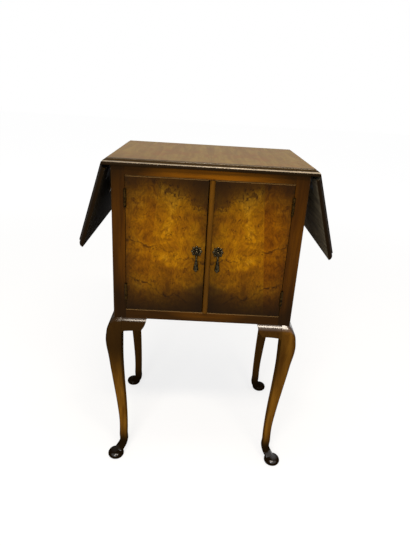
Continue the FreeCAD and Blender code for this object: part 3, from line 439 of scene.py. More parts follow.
def cabriole_shaft():
    """The leg's shaft: a square with round corners, carried down an S curve.

    Below the knee the outer faces fall inwards with the mean of the way down
    and half a cosine wave, the inner faces with that wave to the power 1.5.
    The outer corner keeps one broad radius, and the other three ease from
    crisp at the carcase to soft at the ankle.
    """
    above = CARCASE_BOTTOM - KNEE_DROP * np.array([0, 0.2, 0.5, 1])
    share = np.array([0.25, 0.5, 0.75, 1])
    wave = (1 - np.cos(np.pi * share)) / 2
    low_heights, low_faces, low_insets = FOOT_LEVELS.T
    heights = np.concatenate((above, KNEE_HEIGHT + share * (ANKLE_HEIGHT - KNEE_HEIGHT),
                              low_heights))
    faces = np.concatenate((swell(above), KNEE_OUT + (wave + share) / 2 * (ANKLE_OUT - KNEE_OUT),
                            low_faces))
    insets = np.concatenate((above * 0 + KNEE_INSET,
                             KNEE_INSET + wave ** 1.5 * (ANKLE_INSET - KNEE_INSET),
                             low_insets))
    outer, inset, corner = (eased(SKIN_LEVELS, heights, row)[:, None]
                            for row in (faces, insets, CORNER_RADII))
    turn = np.radians(np.concatenate([np.linspace(0, 90, 10) + 90 * q for q in range(4)]))
    side = np.repeat([1, -1, -1, 1], 10)
    front = np.repeat([-1, -1, 1, 1], 10)
    radius = np.where((side > 0) & (front < 0), KNEE_CORNER, corner)
    half = (outer + inset) / 2
    middle = (outer - inset) / 2
    across = HALF_WIDTH + middle + side * (half - radius) + radius * np.cos(turn)
    depth = FRONT - middle + front * (half - radius) - radius * np.sin(turn)
    return lattice(across, depth, SKIN_LEVELS[:, None])


def pad_foot():
    """A turned pad: two arcs that meet at the belly, and a shallow cone on top.

    The arcs reach the pad's full radius at the belly. The cone's two levels
    are a radius and a height each.
    """
    low = np.linspace(0, 1, 8) * PAD_BELLY
    high = PAD_BELLY + np.linspace(0.1, 1, 9) * (PAD_SHOULDER - PAD_BELLY)
    sole = PAD_RADIUS - SOLE_ROUND + np.sqrt(SOLE_ROUND ** 2 - (low - PAD_BELLY) ** 2)
    belly = PAD_RADIUS - BELLY_ROUND + np.sqrt(BELLY_ROUND ** 2 - (high - PAD_BELLY) ** 2)
    radius = np.concatenate((sole, belly, PAD_CONE[:, 0]))
    level = np.concatenate((low, high, PAD_CONE[:, 1]))
    around = np.linspace(0, 2 * np.pi, 48, endpoint=False)
    across = HALF_WIDTH + FOOT_OUT + radius[:, None] * np.cos(around)
    depth = FRONT - FOOT_OUT + radius[:, None] * np.sin(around)
    return lattice(across, depth, level[:, None])


def arc(start, end, radius, side, count):
    """Points from start towards end along an arc that bulges to one side."""
    start, end = np.array(start), np.array(end)
    chord = end - start
    length = np.hypot(*chord)
    normal = side * np.array([chord[1], -chord[0]]) / length
    middle = (start + end) / 2 - normal * np.sqrt(radius ** 2 - length ** 2 / 4)
    first, last = (np.arctan2(*(point - middle)[::-1]) for point in (start, end))
    sweep = (last - first + np.pi) % (2 * np.pi) - np.pi
    angle = first + sweep * np.linspace(0, 1, count)
    return middle + radius * np.stack((np.cos(angle), np.sin(angle)), axis=-1)


def knee_block():
    """A knee block: slices of the knee's swell, cut off below by a scrolled line.

    Seen from the front the line runs in a shallow arch from the leg, round a
    small corner and up a full ear to the tip. Each slice goes down the swell
    to the line, round a small arris, back along the line and up again.
    """
    inner = HALF_WIDTH - KNEE_INSET - BLOCK_GAP
    tip = inner - BLOCK_LENGTH
    foot = CARCASE_BOTTOM - BLOCK_DROP
    # The line's joints from the leg to the tip, and an arc from each to the next.
    root = (inner, foot - BLOCK_ARCH)
    spring = (inner - 10 * MM, foot - 0.8 * MM)
    turn = (tip + 12.5 * MM, foot)
    low = (tip + 9 * MM, foot + 3.5 * MM)
    ear = (tip, CARCASE_BOTTOM - 3 * MM)
    line = np.concatenate((arc(root, spring, 11 * MM, 1, 20),
                           arc(spring, turn, 200 * MM, 1, 48)[1:],
                           arc(turn, low, 4.2 * MM, -1, 10)[1:],
                           arc(low, ear, EAR_RADIUS, -1, 24)[1:]))
    across, bottom = line[:, :1], line[:, 1:]
    down = np.linspace(0, 1, 40)
    level = CARCASE_BOTTOM + (bottom + ARRIS - CARCASE_BOTTOM) * down
    depth = FRONT - swell(level)
    lip = np.linspace(0, np.pi / 2, 5)[1:]
    level = np.concatenate((level, bottom + ARRIS * (1 - np.sin(lip)), bottom,
                            across * 0 + CARCASE_BOTTOM), axis=1)
    depth = np.concatenate((depth, depth[:, -1:] + ARRIS * (1 - np.cos(lip)),
                            across * 0 + BLOCK_BACK, across * 0 + BLOCK_BACK), axis=1)
    return lattice(across, depth, level)


# The three leg finishes differ in painted light and shade: the right knee's outer corner is
# painted lit, the left knee kept dark, and the rear legs, under and behind the cabinet, are left
# dark as painted shade.
left_walnut = leg_walnut("walnut_left_leg", rubbed=1.0, knee_light_share=0.05, dusted=0.75,
                         shoulder=0.6, corner_kept=0.2)
right_walnut = leg_walnut("walnut_right_leg", rubbed=1.0, knee_light_share=0.7, dusted=1.0,
                          shoulder=0.5, corner_kept=1.0)
back_walnut = leg_walnut("walnut_rear_leg", rubbed=0.15, knee_light_share=0.9, dusted=0.05,
                         shoulder=0.6, corner_kept=1.0)
shaft, pad, block = cabriole_shaft(), pad_foot(), knee_block()
corner = np.array([HALF_WIDTH, FRONT, 0])
side_block = (block - corner)[..., [1, 0, 2]] * (-1, -1, 1) + corner
for side, sign, side_walnut in (("left", -1, left_walnut), ("right", 1, right_walnut)):
    for end, turned, wood in (("front", 1, side_walnut), ("rear", -1, back_walnut)):
        flip = (sign, turned, 1)
        piece = carved(f"cabriole_leg_{end}_{side}", [shaft * flip, pad * flip], "carcase",
                       wood)
        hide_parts(f"leg_{end}_{side}")
    piece = carved(f"carved_blocks_{side}", [side_block * (sign, 1, 1),
                                             side_block * (sign, -1, 1)],
                   "carcase", side_walnut)
    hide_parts(f"knee_blocks_{side}")
    piece = carved(f"carved_block_front_{side}", [block * (sign, 1, 1)], "carcase",
                   side_walnut)
    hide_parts("knee_blocks_front")

# ---------------------------------------------------------- top and two leaves
# Boards veneered with figured walnut whose polish has gone satin, with a
# darker moulded edge in solid walnut; underneath they are stained dark, and
# the right leaf's underside a grey that is painted light on it.
LEAF_SPLAY = np.radians(17)
SLANT = (float(np.cos(LEAF_SPLAY)), float(np.sin(LEAF_SPLAY)))
# Each board's body, the way its field faces, its shine and its stain below.
# The right leaf's grey stain below is painted light, standing for the sheen on
# that leaf's underside.
BOARDS = {
    "tabletop": ("carcase", (0.0, 0.0, 1.0), 0.4, "#0f0b07"),
    "leaf_right": ("leaf_right", (SLANT[0], 0.0, SLANT[1]), 0.1, "#585040"),
    "leaf_left": ("leaf_left", (-SLANT[0], 0.0, SLANT[1]), 0.1, "#20190d"),
}
FIELD_FACING = 0.995
UNDERSIDE_FACING = -0.2
RIBBON_WIDTH = 12 * MM
SWIRL_WIDTH = 42 * MM
SEAM_WIDTH = 0.7 * MM
SEAM_COLOUR = "#2a1806"
SHADED_DEPTH = (-60 * MM, -150 * MM)
SHADED_ACROSS = (-200 * MM, 150 * MM)
# A band along the front of the field painted as the shadow of a step, and its colour, which on
# the moulding is painted light on the faces turned up.
SHADOW_LINE_DEPTH = (-141 * MM, -151 * MM)
EDGE_SHADOW_AND_LEDGE_LIGHT = "#2b1d06"
NOSE_FACING = 0.68
NOSE_GRAIN = 15 * MM
STREAK_WIDTH = 6 * MM
# Where along the front the painted highlight on the nose grows from faint to full.
NOSE_HIGHLIGHT_ACROSS = (-150 * MM, 50 * MM)


def figured_veneer(name, shine):
    """Two leaves of cloudy walnut that meet in the middle, under satin polish.

    Pale ribbons 12 mm wide run to the back, with brown clouds 42 mm across
    over them, and the polish spreads the light to a dim, milky shine. Towards
    the front, most of all on the left, the colour grows darker, up to a band
    along the front edge that is painted almost black as the shadow of a step.
    """
    material, tree, surface, where = new_material(name)
    across, depth, height = (add(tree, "SeparateXYZ", {0: where}, out=axis) for axis in "XYZ")
    sideways = add(tree, "Math", {0: across}, **UNSIGNED)
    matched = add(tree, "CombineXYZ", {"X": sideways, "Y": depth, "Z": height})
    along = add(tree, "VectorMath", {0: matched, 1: (1.0, 0.1, 1.0)}, **TIMES)
    band = add(tree, "TexNoise", {"Vector": along, "Scale": 1 / RIBBON_WIDTH, "Detail": 5.0,
                                  "Roughness": 0.6, "Distortion": 0.8})
    swirl = add(tree, "TexNoise", {"Vector": matched, "Scale": 1 / SWIRL_WIDTH,
                                   "Detail": 6.0, "Roughness": 0.65, "Distortion": 1.4})
    wood = layer(tree, "#574116", band, 0.25, 0.75, 1.0, "#6f5a28")
    wood = layer(tree, wood, swirl, 0.42, 0.66, 0.55, "#5f3812")
    across = add(tree, "MapRange", {0: across, 1: SHADED_ACROSS[0], 2: SHADED_ACROSS[1],
                                    3: 0.3, 4: 0.0})
    wood = layer(tree, wood, depth, *SHADED_DEPTH, across, SEAM_COLOUR)
    # Painted shadow: a near-black band along the front edge, where a step before the moulding
    # would throw one.
    wood = layer(tree, wood, depth, *SHADOW_LINE_DEPTH, 0.85, EDGE_SHADOW_AND_LEDGE_LIGHT)
    share = add(tree, "MapRange", {0: sideways, 1: 0.0, 2: SEAM_WIDTH, 3: 0.5, 4: 0.0})
    wood = add(tree, "Mix", {0: share, 6: wood, 7: SEAM_COLOUR}, **COLOUR)
    fill(tree, surface, {"Base Color": wood, "Roughness": 0.6,
                         "Specular IOR Level": shine, "Specular Tint": POLISH_TINT})
    return material


def moulded_edge(name):
    """Nearly black polish on the moulding, with a painted highlight along its nose.

    The nose is where the surface turns halfway from facing up to facing out.
    There the highlight is painted in a pale colour, most from the middle of
    the top to the right, and the coat shines. Faces turned up more than the
    nose are painted a lighter brown, as painted sheen.
    """
    material, tree, surface, where = new_material(name)
    normal = add(tree, "TexCoord", out="Normal")
    upward = add(tree, "SeparateXYZ", {0: normal}, out="Z")
    grain = add(tree, "TexNoise", {"Vector": where, "Scale": 1 / NOSE_GRAIN, "Detail": 4.0})
    wood = add(tree, "Mix", {0: grain, 6: "#080401", 7: "#170d04"}, **COLOUR)
    # Painted sheen: faces turned up more than the nose are lifted to a lighter brown.
    wood = layer(tree, wood, upward, 0.8, 0.95, 1.0, EDGE_SHADOW_AND_LEDGE_LIGHT)
    nose = add(tree, "Math", {0: upward, 1: NOSE_FACING}, operation="SUBTRACT")
    nose = add(tree, "Math", {0: nose}, **UNSIGNED)
    nose = add(tree, "MapRange", {0: nose, 1: 0.1, 2: 0.2, 3: 1.0, 4: 0.0}, **SMOOTH)
    worn = add(tree, "MapRange", {0: grain, 1: 0.3, 2: 0.7, 3: 0.6, 4: 1.0})
    across = add(tree, "SeparateXYZ", {0: where}, out="X")
    across = add(tree, "MapRange", {0: across, 1: NOSE_HIGHLIGHT_ACROSS[0], 2: NOSE_HIGHLIGHT_ACROSS[1],
                                    3: 0.65}, **SMOOTH)
    worn = add(tree, "Math", {0: across, 1: worn}, **TIMES)
    worn = add(tree, "Math", {0: nose, 1: worn}, **TIMES)
    # Painted highlight: the nose is painted pale.
    wood = add(tree, "Mix", {0: worn, 6: wood, 7: "#a29279"}, **COLOUR)
    fill(tree, surface, {"Base Color": wood, "Roughness": 0.5, "Coat Weight": nose,
                         "Coat Roughness": 0.15, "Specular IOR Level": 0.05,
                         "Specular Tint": POLISH_TINT})
    return material


def stained(name, colour):
    """Wood that was only brushed with a thin dark stain, matt and streaky."""
    material, tree, surface, where = new_material(name)
    brushed = add(tree, "VectorMath", {0: where, 1: (1.0, 0.08, 1.0)}, **TIMES)
    streak = add(tree, "TexNoise", {"Vector": brushed, "Scale": 1 / STREAK_WIDTH, "Detail": 4.0})
    streak = add(tree, "MapRange", {0: streak, 1: 0.3, 2: 0.7, 3: 0.6, 4: 1.4})
    wood = add(tree, "VectorMath", {0: linear(colour)[:3], "Scale": streak},
               operation="SCALE")
    fill(tree, surface, {"Base Color": wood, "Roughness": 0.9, "Specular IOR Level": 0.03})
    return material


def sanded(node, name, body, face, materials):
    """A copy of a CAD board whose mouldings are sanded smooth.

    Its loose triangles are joined, and every edge flatter than SHARP_EDGE is
    shaded round, with the broad faces kept flat. Faces square to the field
    take the first material, those turned away from it the third, and the
    moulding between them the second.
    """
    shell = bmesh.new()
    shell.from_mesh(nodes[node].data)
    bmesh.ops.remove_doubles(shell, verts=shell.verts, dist=MERGED)
    mesh = bpy.data.meshes.new(name)
    shell.to_mesh(mesh)
    shell.free()
    mesh.shade_smooth()
    mesh.set_sharp_from_angle(angle=SHARP_EDGE)
    mesh.materials.clear()
    for material in materials:
        mesh.materials.append(material)
    normals = np.empty(3 * len(mesh.polygons))
    mesh.polygons.foreach_get("normal", normals)
    facing = normals.reshape(-1, 3) @ face
    part = np.select((facing > FIELD_FACING, facing < UNDERSIDE_FACING), (0, 2), 1)
    mesh.polygons.foreach_set("material_index", part)
    piece = shown(name, mesh)
    piece.modifiers.new("flat_faces", "WEIGHTED_NORMAL").keep_sharp = True
    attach(piece, body)
    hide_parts(node)


moulding = moulded_edge("walnut_moulding")
for node, (body, face, shine, stain) in BOARDS.items():
    sanded(node, f"veneered_{node}", body, face,
           (figured_veneer(f"walnut_{node}", shine), moulding,
            stained(f"stain_and_painted_light_{node}", stain)))

# ----------------------------------------------------------------------- doors
# Flush boards faced with burr walnut, two leaves of veneer a door and
# book-matched across the bead. The polisher shaded the edges almost black.
CLOUD = 55 * MM
MOTTLE = 13 * MM
CURL = 4 * MM
CURL_DEPTH = 0.3 * MM
BUD = 24 * MM
DRIFT = 45 * MM
DRIFT_SIZE = 40 * MM
GATHER = 30 * MM
GATHER_SIZE = 60 * MM
BEAD_LINE = 3 * MM
JOINT_FOOT = 173 * MM
JOINT_LEAN = 0.09
JOINT_WIDTH = 0.8 * MM
DOOR_MIDDLE = (91 * MM, 588 * MM)
DOOR_REACH = (118 * MM, 150 * MM)
# Each growth line's height at the bead, its slope and how dark it is.
GROWTH_LINES = ((658 * MM, 0.52, 0.6), (546 * MM, 0.3, 0.75), (437 * MM, 0.41, 0.9))
GROWTH_EDGE = (0.5 * MM, 3.6 * MM)
HEART_RISE = 9 * MM
SPECKS_RISE = (4 * MM, 10 * MM)
SUNKEN_HEART = (512 * MM, 494 * MM)
HEART_FADE = (25 * MM, 120 * MM)
HEART_COLOUR = "#3d2108"
FIGURE_COLOUR = "#2c1504"
EDGE_STAIN = "#120a05"


def burr_veneer(name, outer_tint):
    """Burr walnut on the front, plain walnut on the edges and the back.

    The figure is drawn over the distance from the bead, so both doors match.
    Clouds 55 mm across give the amber patches, streaks 4 mm wide the curl, and
    a cell pattern 24 mm wide the round buds. Three growth lines climb away
    from the bead; above the highest the wood is heart-brown and full of
    specks. A tall strip of another leaf of veneer makes up the outer side.
    The polish is clearer on the pale patches, so its shine is broken up.
    """
    material, tree, surface, where = new_material(name)
    aside, height = (add(tree, "SeparateXYZ", {0: where}, out=axis) for axis in "XZ")
    aside = add(tree, "Math", {0: aside, 1: BEAD_LINE}, operation="SUBTRACT")
    aside = add(tree, "Math", {0: aside}, **UNSIGNED)
    joint = add(tree, "Math", {0: height, 1: JOINT_LEAN, 2: aside}, **TIMES_PLUS)
    outer = add(tree, "MapRange", {0: joint, 1: JOINT_FOOT - JOINT_WIDTH / 2,
                                   2: JOINT_FOOT + JOINT_WIDTH / 2})
    flat = add(tree, "CombineXYZ", {"X": aside, "Z": height})
    leaf = add(tree, "CombineXYZ", {"X": aside, "Y": outer, "Z": height})
    drift = add(tree, "TexNoise", {"Vector": flat, "Scale": 1 / DRIFT, "Detail": 3.0},
                out="Color")
    warped = add(tree, "VectorMath", {0: drift, 1: (DRIFT_SIZE,) * 3, 2: leaf}, **TIMES_PLUS)
    patch = add(tree, "TexNoise", {"Vector": flat, "Scale": 1 / CLOUD, "Detail": 5.0,
                                   "Roughness": 0.55, "Distortion": 0.6})
    mottle = add(tree, "TexNoise", {"Vector": warped, "Scale": 1 / MOTTLE, "Detail": 5.0,
                                    "Roughness": 0.6})
    drawn = add(tree, "VectorMath", {0: warped, 1: (1.0, 1.0, 0.4)}, **TIMES)
    streak = add(tree, "TexNoise", {"Vector": drawn, "Scale": 1 / CURL, "Detail": 4.0,
                                    "Roughness": 0.6, "Distortion": 0.7})
    gather = add(tree, "TexNoise", {"Vector": flat, "Scale": 1 / GATHER, "Detail": 2.0})
    bud = add(tree, "TexVoronoi", {"Vector": warped, "Scale": 1 / BUD})
    wanted = add(tree, "TexVoronoi", {"Vector": warped, "Scale": 1 / BUD}, out="Color")
    wanted = add(tree, "MapRange", {0: wanted, 1: 0.45, 2: 0.5})

    wood = add(tree, "ValToRGB", {0: patch},
               stops=[(0.3, "#5c3603"), (0.46, "#774a03"), (0.58, "#895a03"),
                      (0.72, "#9f7013")])
    wood = layer(tree, wood, mottle, 0.45, 0.72, 0.65, "#5c3304")
    curl = add(tree, "MapRange", {0: streak, 1: 0.3, 2: 0.7, 3: 1.25, 4: 0.68}, **SMOOTH)
    wood = add(tree, "VectorMath", {0: wood, "Scale": curl}, operation="SCALE")
    speck = add(tree, "MapRange", {0: streak, 1: 0.52, 2: 0.62}, **SMOOTH)
    dark = add(tree, "MapRange", {0: bud, 1: 0.05, 2: 0.13, 3: 0.8, 4: 0.0}, **SMOOTH)
    ring = add(tree, "Math", {0: bud, 1: 0.24, 2: 0.035}, operation="COMPARE")
    ring = add(tree, "Math", {0: ring, 1: speck}, **TIMES)
    dark = add(tree, "Math", {0: ring, 1: dark}, **LARGER)
    dark = add(tree, "Math", {0: dark, 1: wanted}, **TIMES)
    for foot, slope, strength in GROWTH_LINES:
        rise = add(tree, "Math", {0: aside, 1: -slope, 2: height}, **TIMES_PLUS)
        rise = add(tree, "Math", {0: gather, 1: GATHER_SIZE, 2: rise}, **TIMES_PLUS)
        rise = add(tree, "Math", {0: rise, 1: foot + GATHER_SIZE / 2}, operation="SUBTRACT")
        line = add(tree, "Math", {0: rise}, **UNSIGNED)
        line = add(tree, "MapRange", {0: line, 1: GROWTH_EDGE[0], 2: GROWTH_EDGE[1],
                                      3: strength, 4: 0.0}, **SMOOTH)
        dark = add(tree, "Math", {0: line, 1: dark}, **LARGER)
        if foot == GROWTH_LINES[0][0]:
            heart = add(tree, "MapRange", {0: rise, 1: 0.0, 2: HEART_RISE, 4: 0.7}, **SMOOTH)
            near = add(tree, "Math", {0: rise, 1: SPECKS_RISE[0], 2: SPECKS_RISE[1]},
                       operation="COMPARE")
            near = add(tree, "Math", {0: near, 1: speck}, **TIMES)
            dark = add(tree, "Math", {0: near, 1: dark}, **LARGER)
    sunk = add(tree, "Math", {0: aside, 1: 0.4, 2: height}, **TIMES_PLUS)
    sunk = add(tree, "MapRange", {0: sunk, 1: SUNKEN_HEART[0], 2: SUNKEN_HEART[1],
                                  4: 0.75}, **SMOOTH)
    heart = add(tree, "Math", {0: heart, 1: sunk}, **LARGER)
    fade = add(tree, "MapRange", {0: aside, 1: HEART_FADE[0], 2: HEART_FADE[1],
                                  3: 1.0, 4: 0.3})
    heart = add(tree, "Math", {0: heart, 1: fade}, **TIMES)
    broken = add(tree, "MapRange", {0: mottle, 1: 0.35, 2: 0.6, 3: 0.15}, **SMOOTH)
    dark = add(tree, "Math", {0: dark, 1: broken}, **TIMES)
    wood = add(tree, "Mix", {0: dark, 6: wood, 7: FIGURE_COLOUR}, **COLOUR)
    wood = add(tree, "Mix", {0: heart, 6: wood, 7: HEART_COLOUR}, **COLOUR)
    tinted = add(tree, "Mix", {0: 1.0, 6: wood, 7: outer_tint}, **TINT)
    wood = add(tree, "Mix", {0: outer, 6: wood, 7: tinted}, **COLOUR)
    rubbed = outward(tree, flat, DOOR_MIDDLE, DOOR_REACH, 3.0)
    rubbed = add(tree, "Math", {0: rubbed, 1: -2.6}, **TIMES)
    rubbed = add(tree, "Math", {0: rubbed}, operation="EXPONENT")
    wood = add(tree, "Mix", {0: rubbed, 6: EDGE_STAIN, 7: wood}, **COLOUR)
    # Painted highlight, with wear, along the lying arrises.
    wood = add(tree, "Mix", {0: arris(tree), 6: wood, 7: ARRIS_WEAR_AND_HIGHLIGHT}, **COLOUR)
    plain = add(tree, "VectorMath", {0: where, 1: (1.0, 1.0, ALONG_GRAIN)}, **TIMES)
    plain = add(tree, "TexNoise", {"Vector": plain, "Scale": 1 / BAND_WIDTH, "Detail": 5.0})
    plain = add(tree, "Mix", {0: plain, 6: "#3c2108", 7: "#5c360e"}, **COLOUR)
    front = add(tree, "TexCoord", out="Normal")
    front = add(tree, "SeparateXYZ", {0: front}, out="Y")
    front = add(tree, "MapRange", {0: front, 1: -0.6, 2: -0.4, 3: 1.0, 4: 0.0})
    wood = add(tree, "Mix", {0: front, 6: plain, 7: wood}, **COLOUR)
    rough = add(tree, "MapRange", {0: mottle, 3: 0.24, 4: 0.4})
    bump = add(tree, "Bump", {"Strength": 0.1, "Distance": CURL_DEPTH, "Height": streak})
    fill(tree, surface, {"Base Color": wood, "Roughness": rough, "Normal": bump,
                         "Specular IOR Level": 0.07, "Specular Tint": POLISH_TINT})
    return material


finish(burr_veneer("burr_walnut_left", "#f4ece4"), "door_left")
finish(burr_veneer("burr_walnut_right", "#e0cdb4"), "door_right")

# ------------------------------------------------------------------------ bead
# A half-round bead of paler solid walnut, glued along the meeting edge of the
# right door, beside the gap between the two.
finish(walnut("walnut_bead", "Z", "#613e0a", "#4e3108"), "astragal")


# ----------------------------------------------------------------------- metal
# Rolled metal that was never cleaned: brass butt hinges and stays, and steel
# leaf hinges and catch plates, whose black skin has no metal shine. The
# catches' magnets sit in brown moulded cases.
def tarnished(name, bright, dull, patch_size, smooth, rough, metal=1.0):
    """Metal with bright and dull patches of a size: worn here, grown dark there.

    The worn patches are smooth and catch the light, and the dull ones are not.
    """
    material, tree, surface, where = new_material(name)
    patch = add(tree, "TexNoise", {"Vector": where, "Scale": 1 / patch_size, "Detail": 5.0,
                                   "Roughness": 0.65})
    patch = add(tree, "MapRange", {0: patch, 1: 0.4, 2: 0.62}, **SMOOTH)
    colour = add(tree, "Mix", {0: patch, 6: bright, 7: dull}, **COLOUR)
    sheen = add(tree, "MapRange", {0: patch, 3: smooth, 4: rough})
    fill(tree, surface, {"Base Color": colour, "Metallic": metal, "Roughness": sheen,
                         "Specular IOR Level": 0.5})
    return material


finish(tarnished("aged_brass", "#38280f", "#140d05", 6 * MM, smooth=0.35, rough=0.55),
       *(name for name in nodes if name.startswith(("door_hinge", "stay_"))))
finish(tarnished("blackened_steel", "#1e1b17", "#0e0c0a", 8 * MM, smooth=0.6, rough=0.8,
                 metal=0.0),
       *(name for name in nodes if name.startswith(("leaf_hinge", "catch_plate"))))
finish(tarnished("catch_case", "#4a3826", "#3a2c1e", 8 * MM, smooth=0.4, rough=0.5,
                 metal=0.0),
       "catch_blocks")

# ----------------------------------------------------------------------- pulls
# A cast bronze rosette and drop on a slotted ball stem that a nut draws tight
# from inside. Sand-cast, chased and lacquered, so it is dark with worn tips.
ROSETTE_BORE = 2.1 * MM
ROSETTE_NOTCH = 8.8 * MM
ROSETTE_LOBE = 3.6 * MM
PLATE_THICKNESS = 0.9 * MM
COLLAR_MIDDLE = 4.0 * MM
COLLAR_HALF_WIDTH = 1.7 * MM
COLLAR_RISE = 1.5 * MM
PETAL_RISE = 0.9 * MM
NOTCH_RISE = 0.5 * MM
VEIN_DEPTH = 0.35 * MM
PULL_HEIGHT = 575 * MM
# Of each level of the drop: depth below the pin, half width, half thickness.
DROP_LEVELS = np.array([
    (-1.9, 0.0, 0.0), (-1.5, 0.9, 1.1), (0.0, 0.9, 1.9), (1.5, 0.9, 1.3), (6.2, 0.9, 1.3),
    (6.3, 1.5, 1.6), (6.9, 2.3, 2.3), (7.8, 2.6, 2.6), (8.6, 2.2, 2.2), (9.2, 1.6, 1.6),
    (10.0, 2.4, 2.4), (10.8, 2.6, 2.6), (11.6, 2.4, 2.4), (12.2, 2.1, 2.1),
    (16.0, 2.4, 2.4), (21.0, 3.0, 3.0), (26.0, 3.8, 3.8), (31.0, 4.8, 4.8),
    (35.0, 5.5, 5.5), (37.5, 5.8, 5.8), (39.5, 5.6, 5.6), (41.0, 4.8, 4.8),
    (42.0, 3.4, 3.4), (42.5, 2.2, 2.2), (42.9, 1.8, 1.8), (43.5, 1.9, 1.9),
    (44.5, 1.5, 1.5), (45.0, 0.0, 0.0)]) * MM


def rosette(axis_x, axis_z, wall_y):
    """Eight domed petals round a beaded collar.

    The outline swings between two radii with the eighth turn. Going out from
    the bore, the height is the collar's half circle, then a hollow, then a
    dome that follows the petals and has a vein down each one's middle.
    """
    around = np.linspace(0, 2 * np.pi, 128, endpoint=False)
    lobe = np.abs(np.cos(4 * around)) ** 0.6
    out = np.linspace(0, 1, 40)[:, None]
    reach = ROSETTE_BORE + (ROSETTE_NOTCH + ROSETTE_LOBE * lobe - ROSETTE_BORE) * out
    ring = np.clip(1 - ((reach - COLLAR_MIDDLE) / COLLAR_HALF_WIDTH) ** 2, 0, 1)
    dome = np.clip(1 - ((out - 0.7) / 0.3) ** 2, 0, 1)
    petal = np.sqrt(dome) * (NOTCH_RISE + PETAL_RISE * lobe)
    vein = np.exp(-(np.sin(4 * around) / 0.16) ** 2) * VEIN_DEPTH * (out > 0.5)
    height = PLATE_THICKNESS + COLLAR_RISE * np.sqrt(ring) + petal - vein
    height[0] = 0
    height[-1] = 0
    face = lattice(axis_x + reach * np.sin(around), wall_y - height,
                   axis_z + reach * np.cos(around))
    return np.concatenate((face, face[:1]))


def pear_drop(axis_x, axis_y, pin_z):
    """A drop by its half width and half thickness at each depth below its pin.

    Each level is an oval, flat in the tongue that hangs in the stem's slot and
    round from the collar down: a long neck that swells like a pear and ends in
    a small ball.
    """
    depth, wide, thick = DROP_LEVELS.T[:, :, None]
    around = np.linspace(0, 2 * np.pi, 32, endpoint=False)
    return lattice(axis_x + wide * np.sin(around), axis_y + thick * np.cos(around),
                   pin_z - depth)


antique_bronze = tarnished("antique_bronze", "#453c2a", "#0b0804", 3 * MM, smooth=0.12,
                           rough=0.35)
finish(antique_bronze, *(name for name in nodes if name.startswith("pull_")))
for side in ("left", "right"):
    low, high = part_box(f"pull_rosette_{side}")
    pull_x = (low[0] + high[0]) / 2
    points = rosette(pull_x, PULL_HEIGHT, high[1])
    piece = carved(f"cast_rosette_{side}", [points], f"door_{side}",
                   antique_bronze)
    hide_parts(f"pull_rosette_{side}")
    low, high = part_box(f"pull_drop_{side}")
    drop_y = (low[1] + high[1]) / 2
    points = pear_drop(pull_x, drop_y, PULL_HEIGHT)
    piece = carved(f"cast_drop_{side}", [points], f"pull_{side}", antique_bronze)
    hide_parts(f"pull_drop_{side}")

# ------------------------------------------------------------------- fasteners
# Slotted countersunk screws hold every flap, lug and catch plate. They are
# turned from brass or blued iron and driven flush, each slot as it stopped.
SCREW_RADIUS = 2.3 * MM
RIM_DEPTH = 0.3 * MM
HINGE_AXIS_X = 173.5 * MM
HALF_GAP = 0.1 * MM
HINGE_PROUD = 0.07 * MM
HINGE_MIDDLES = (473 * MM, 683.2 * MM)
# Screws of a hinge: height from its middle and depth. Screws of a leaf's
# flap: distance from the hinge line and place along it.
HINGE_SCREWS = np.array([(-13, -146), (0, -148.5), (13, -146)]) * MM
FIELD_EDGE = 210 * MM
HINGE_LINE = 750.2 * MM
LEAF_HINGE_Y = 95 * MM
LEAF_SCREWS = np.array([(15, 11), (24, -9), (35, 8)]) * MM
FLAP_FACE = -1 * MM
FLAP_PROUD = 0.25 * MM
LUG_Y = 3.45 * MM
LUG_SCREW = 10.5 * MM
LUG_ON_LEAF = 79.5 * MM
LUG_ON_SIDE = 670.2 * MM
LEAF_LUG_FACE = -2.5 * MM
SIDE_LUG_FACE = 203.5 * MM
LUG_PROUD = 0.4 * MM
CATCH_SCREW = 12 * MM
CATCH_SCREW_RADIUS = 1.9 * MM
CATCH_PROUD = 0.1 * MM


def slotted_screw(place, facing, proud, turn, radius=SCREW_RADIUS):
    """A low dome cut across by a slot, with its rim let into the plate.

    With s the share of the radius, the dome stands proud (1 - 0.4 s^2) over
    the plate, and a tenth of that within 0.17 radius of the slot's line.
    """
    facing = np.array(facing) / np.linalg.norm(facing)
    beside = np.cross(facing, (0.0, 0.0, 1.0) if abs(facing[2]) < 0.9 else (0.0, 1.0, 0.0))
    beside = beside / np.linalg.norm(beside)
    share = np.append(np.linspace(0.06, 1, 14), 1.0)[:, None]
    around = np.linspace(0, 2 * np.pi, 36, endpoint=False)
    across, along = share * np.cos(around), share * np.sin(around)
    height = proud * (1 - 0.4 * share ** 2) * np.where(np.abs(across) < 0.17, 0.1, 1.0)
    height[-1] = -RIM_DEPTH
    turned = (across * np.cos(turn) - along * np.sin(turn),
              across * np.sin(turn) + along * np.cos(turn))
    return (np.array(place) + radius * (turned[0][..., None] * beside
                                        + turned[1][..., None] * np.cross(facing, beside))
            + height[..., None] * facing)


def on_leaf(x, y, z):
    """A point of the level leaf, swung down about its hinge line."""
    return (FIELD_EDGE + x * SLANT[1] + z * SLANT[0], y,
            HINGE_LINE + z * SLANT[1] - x * SLANT[0])


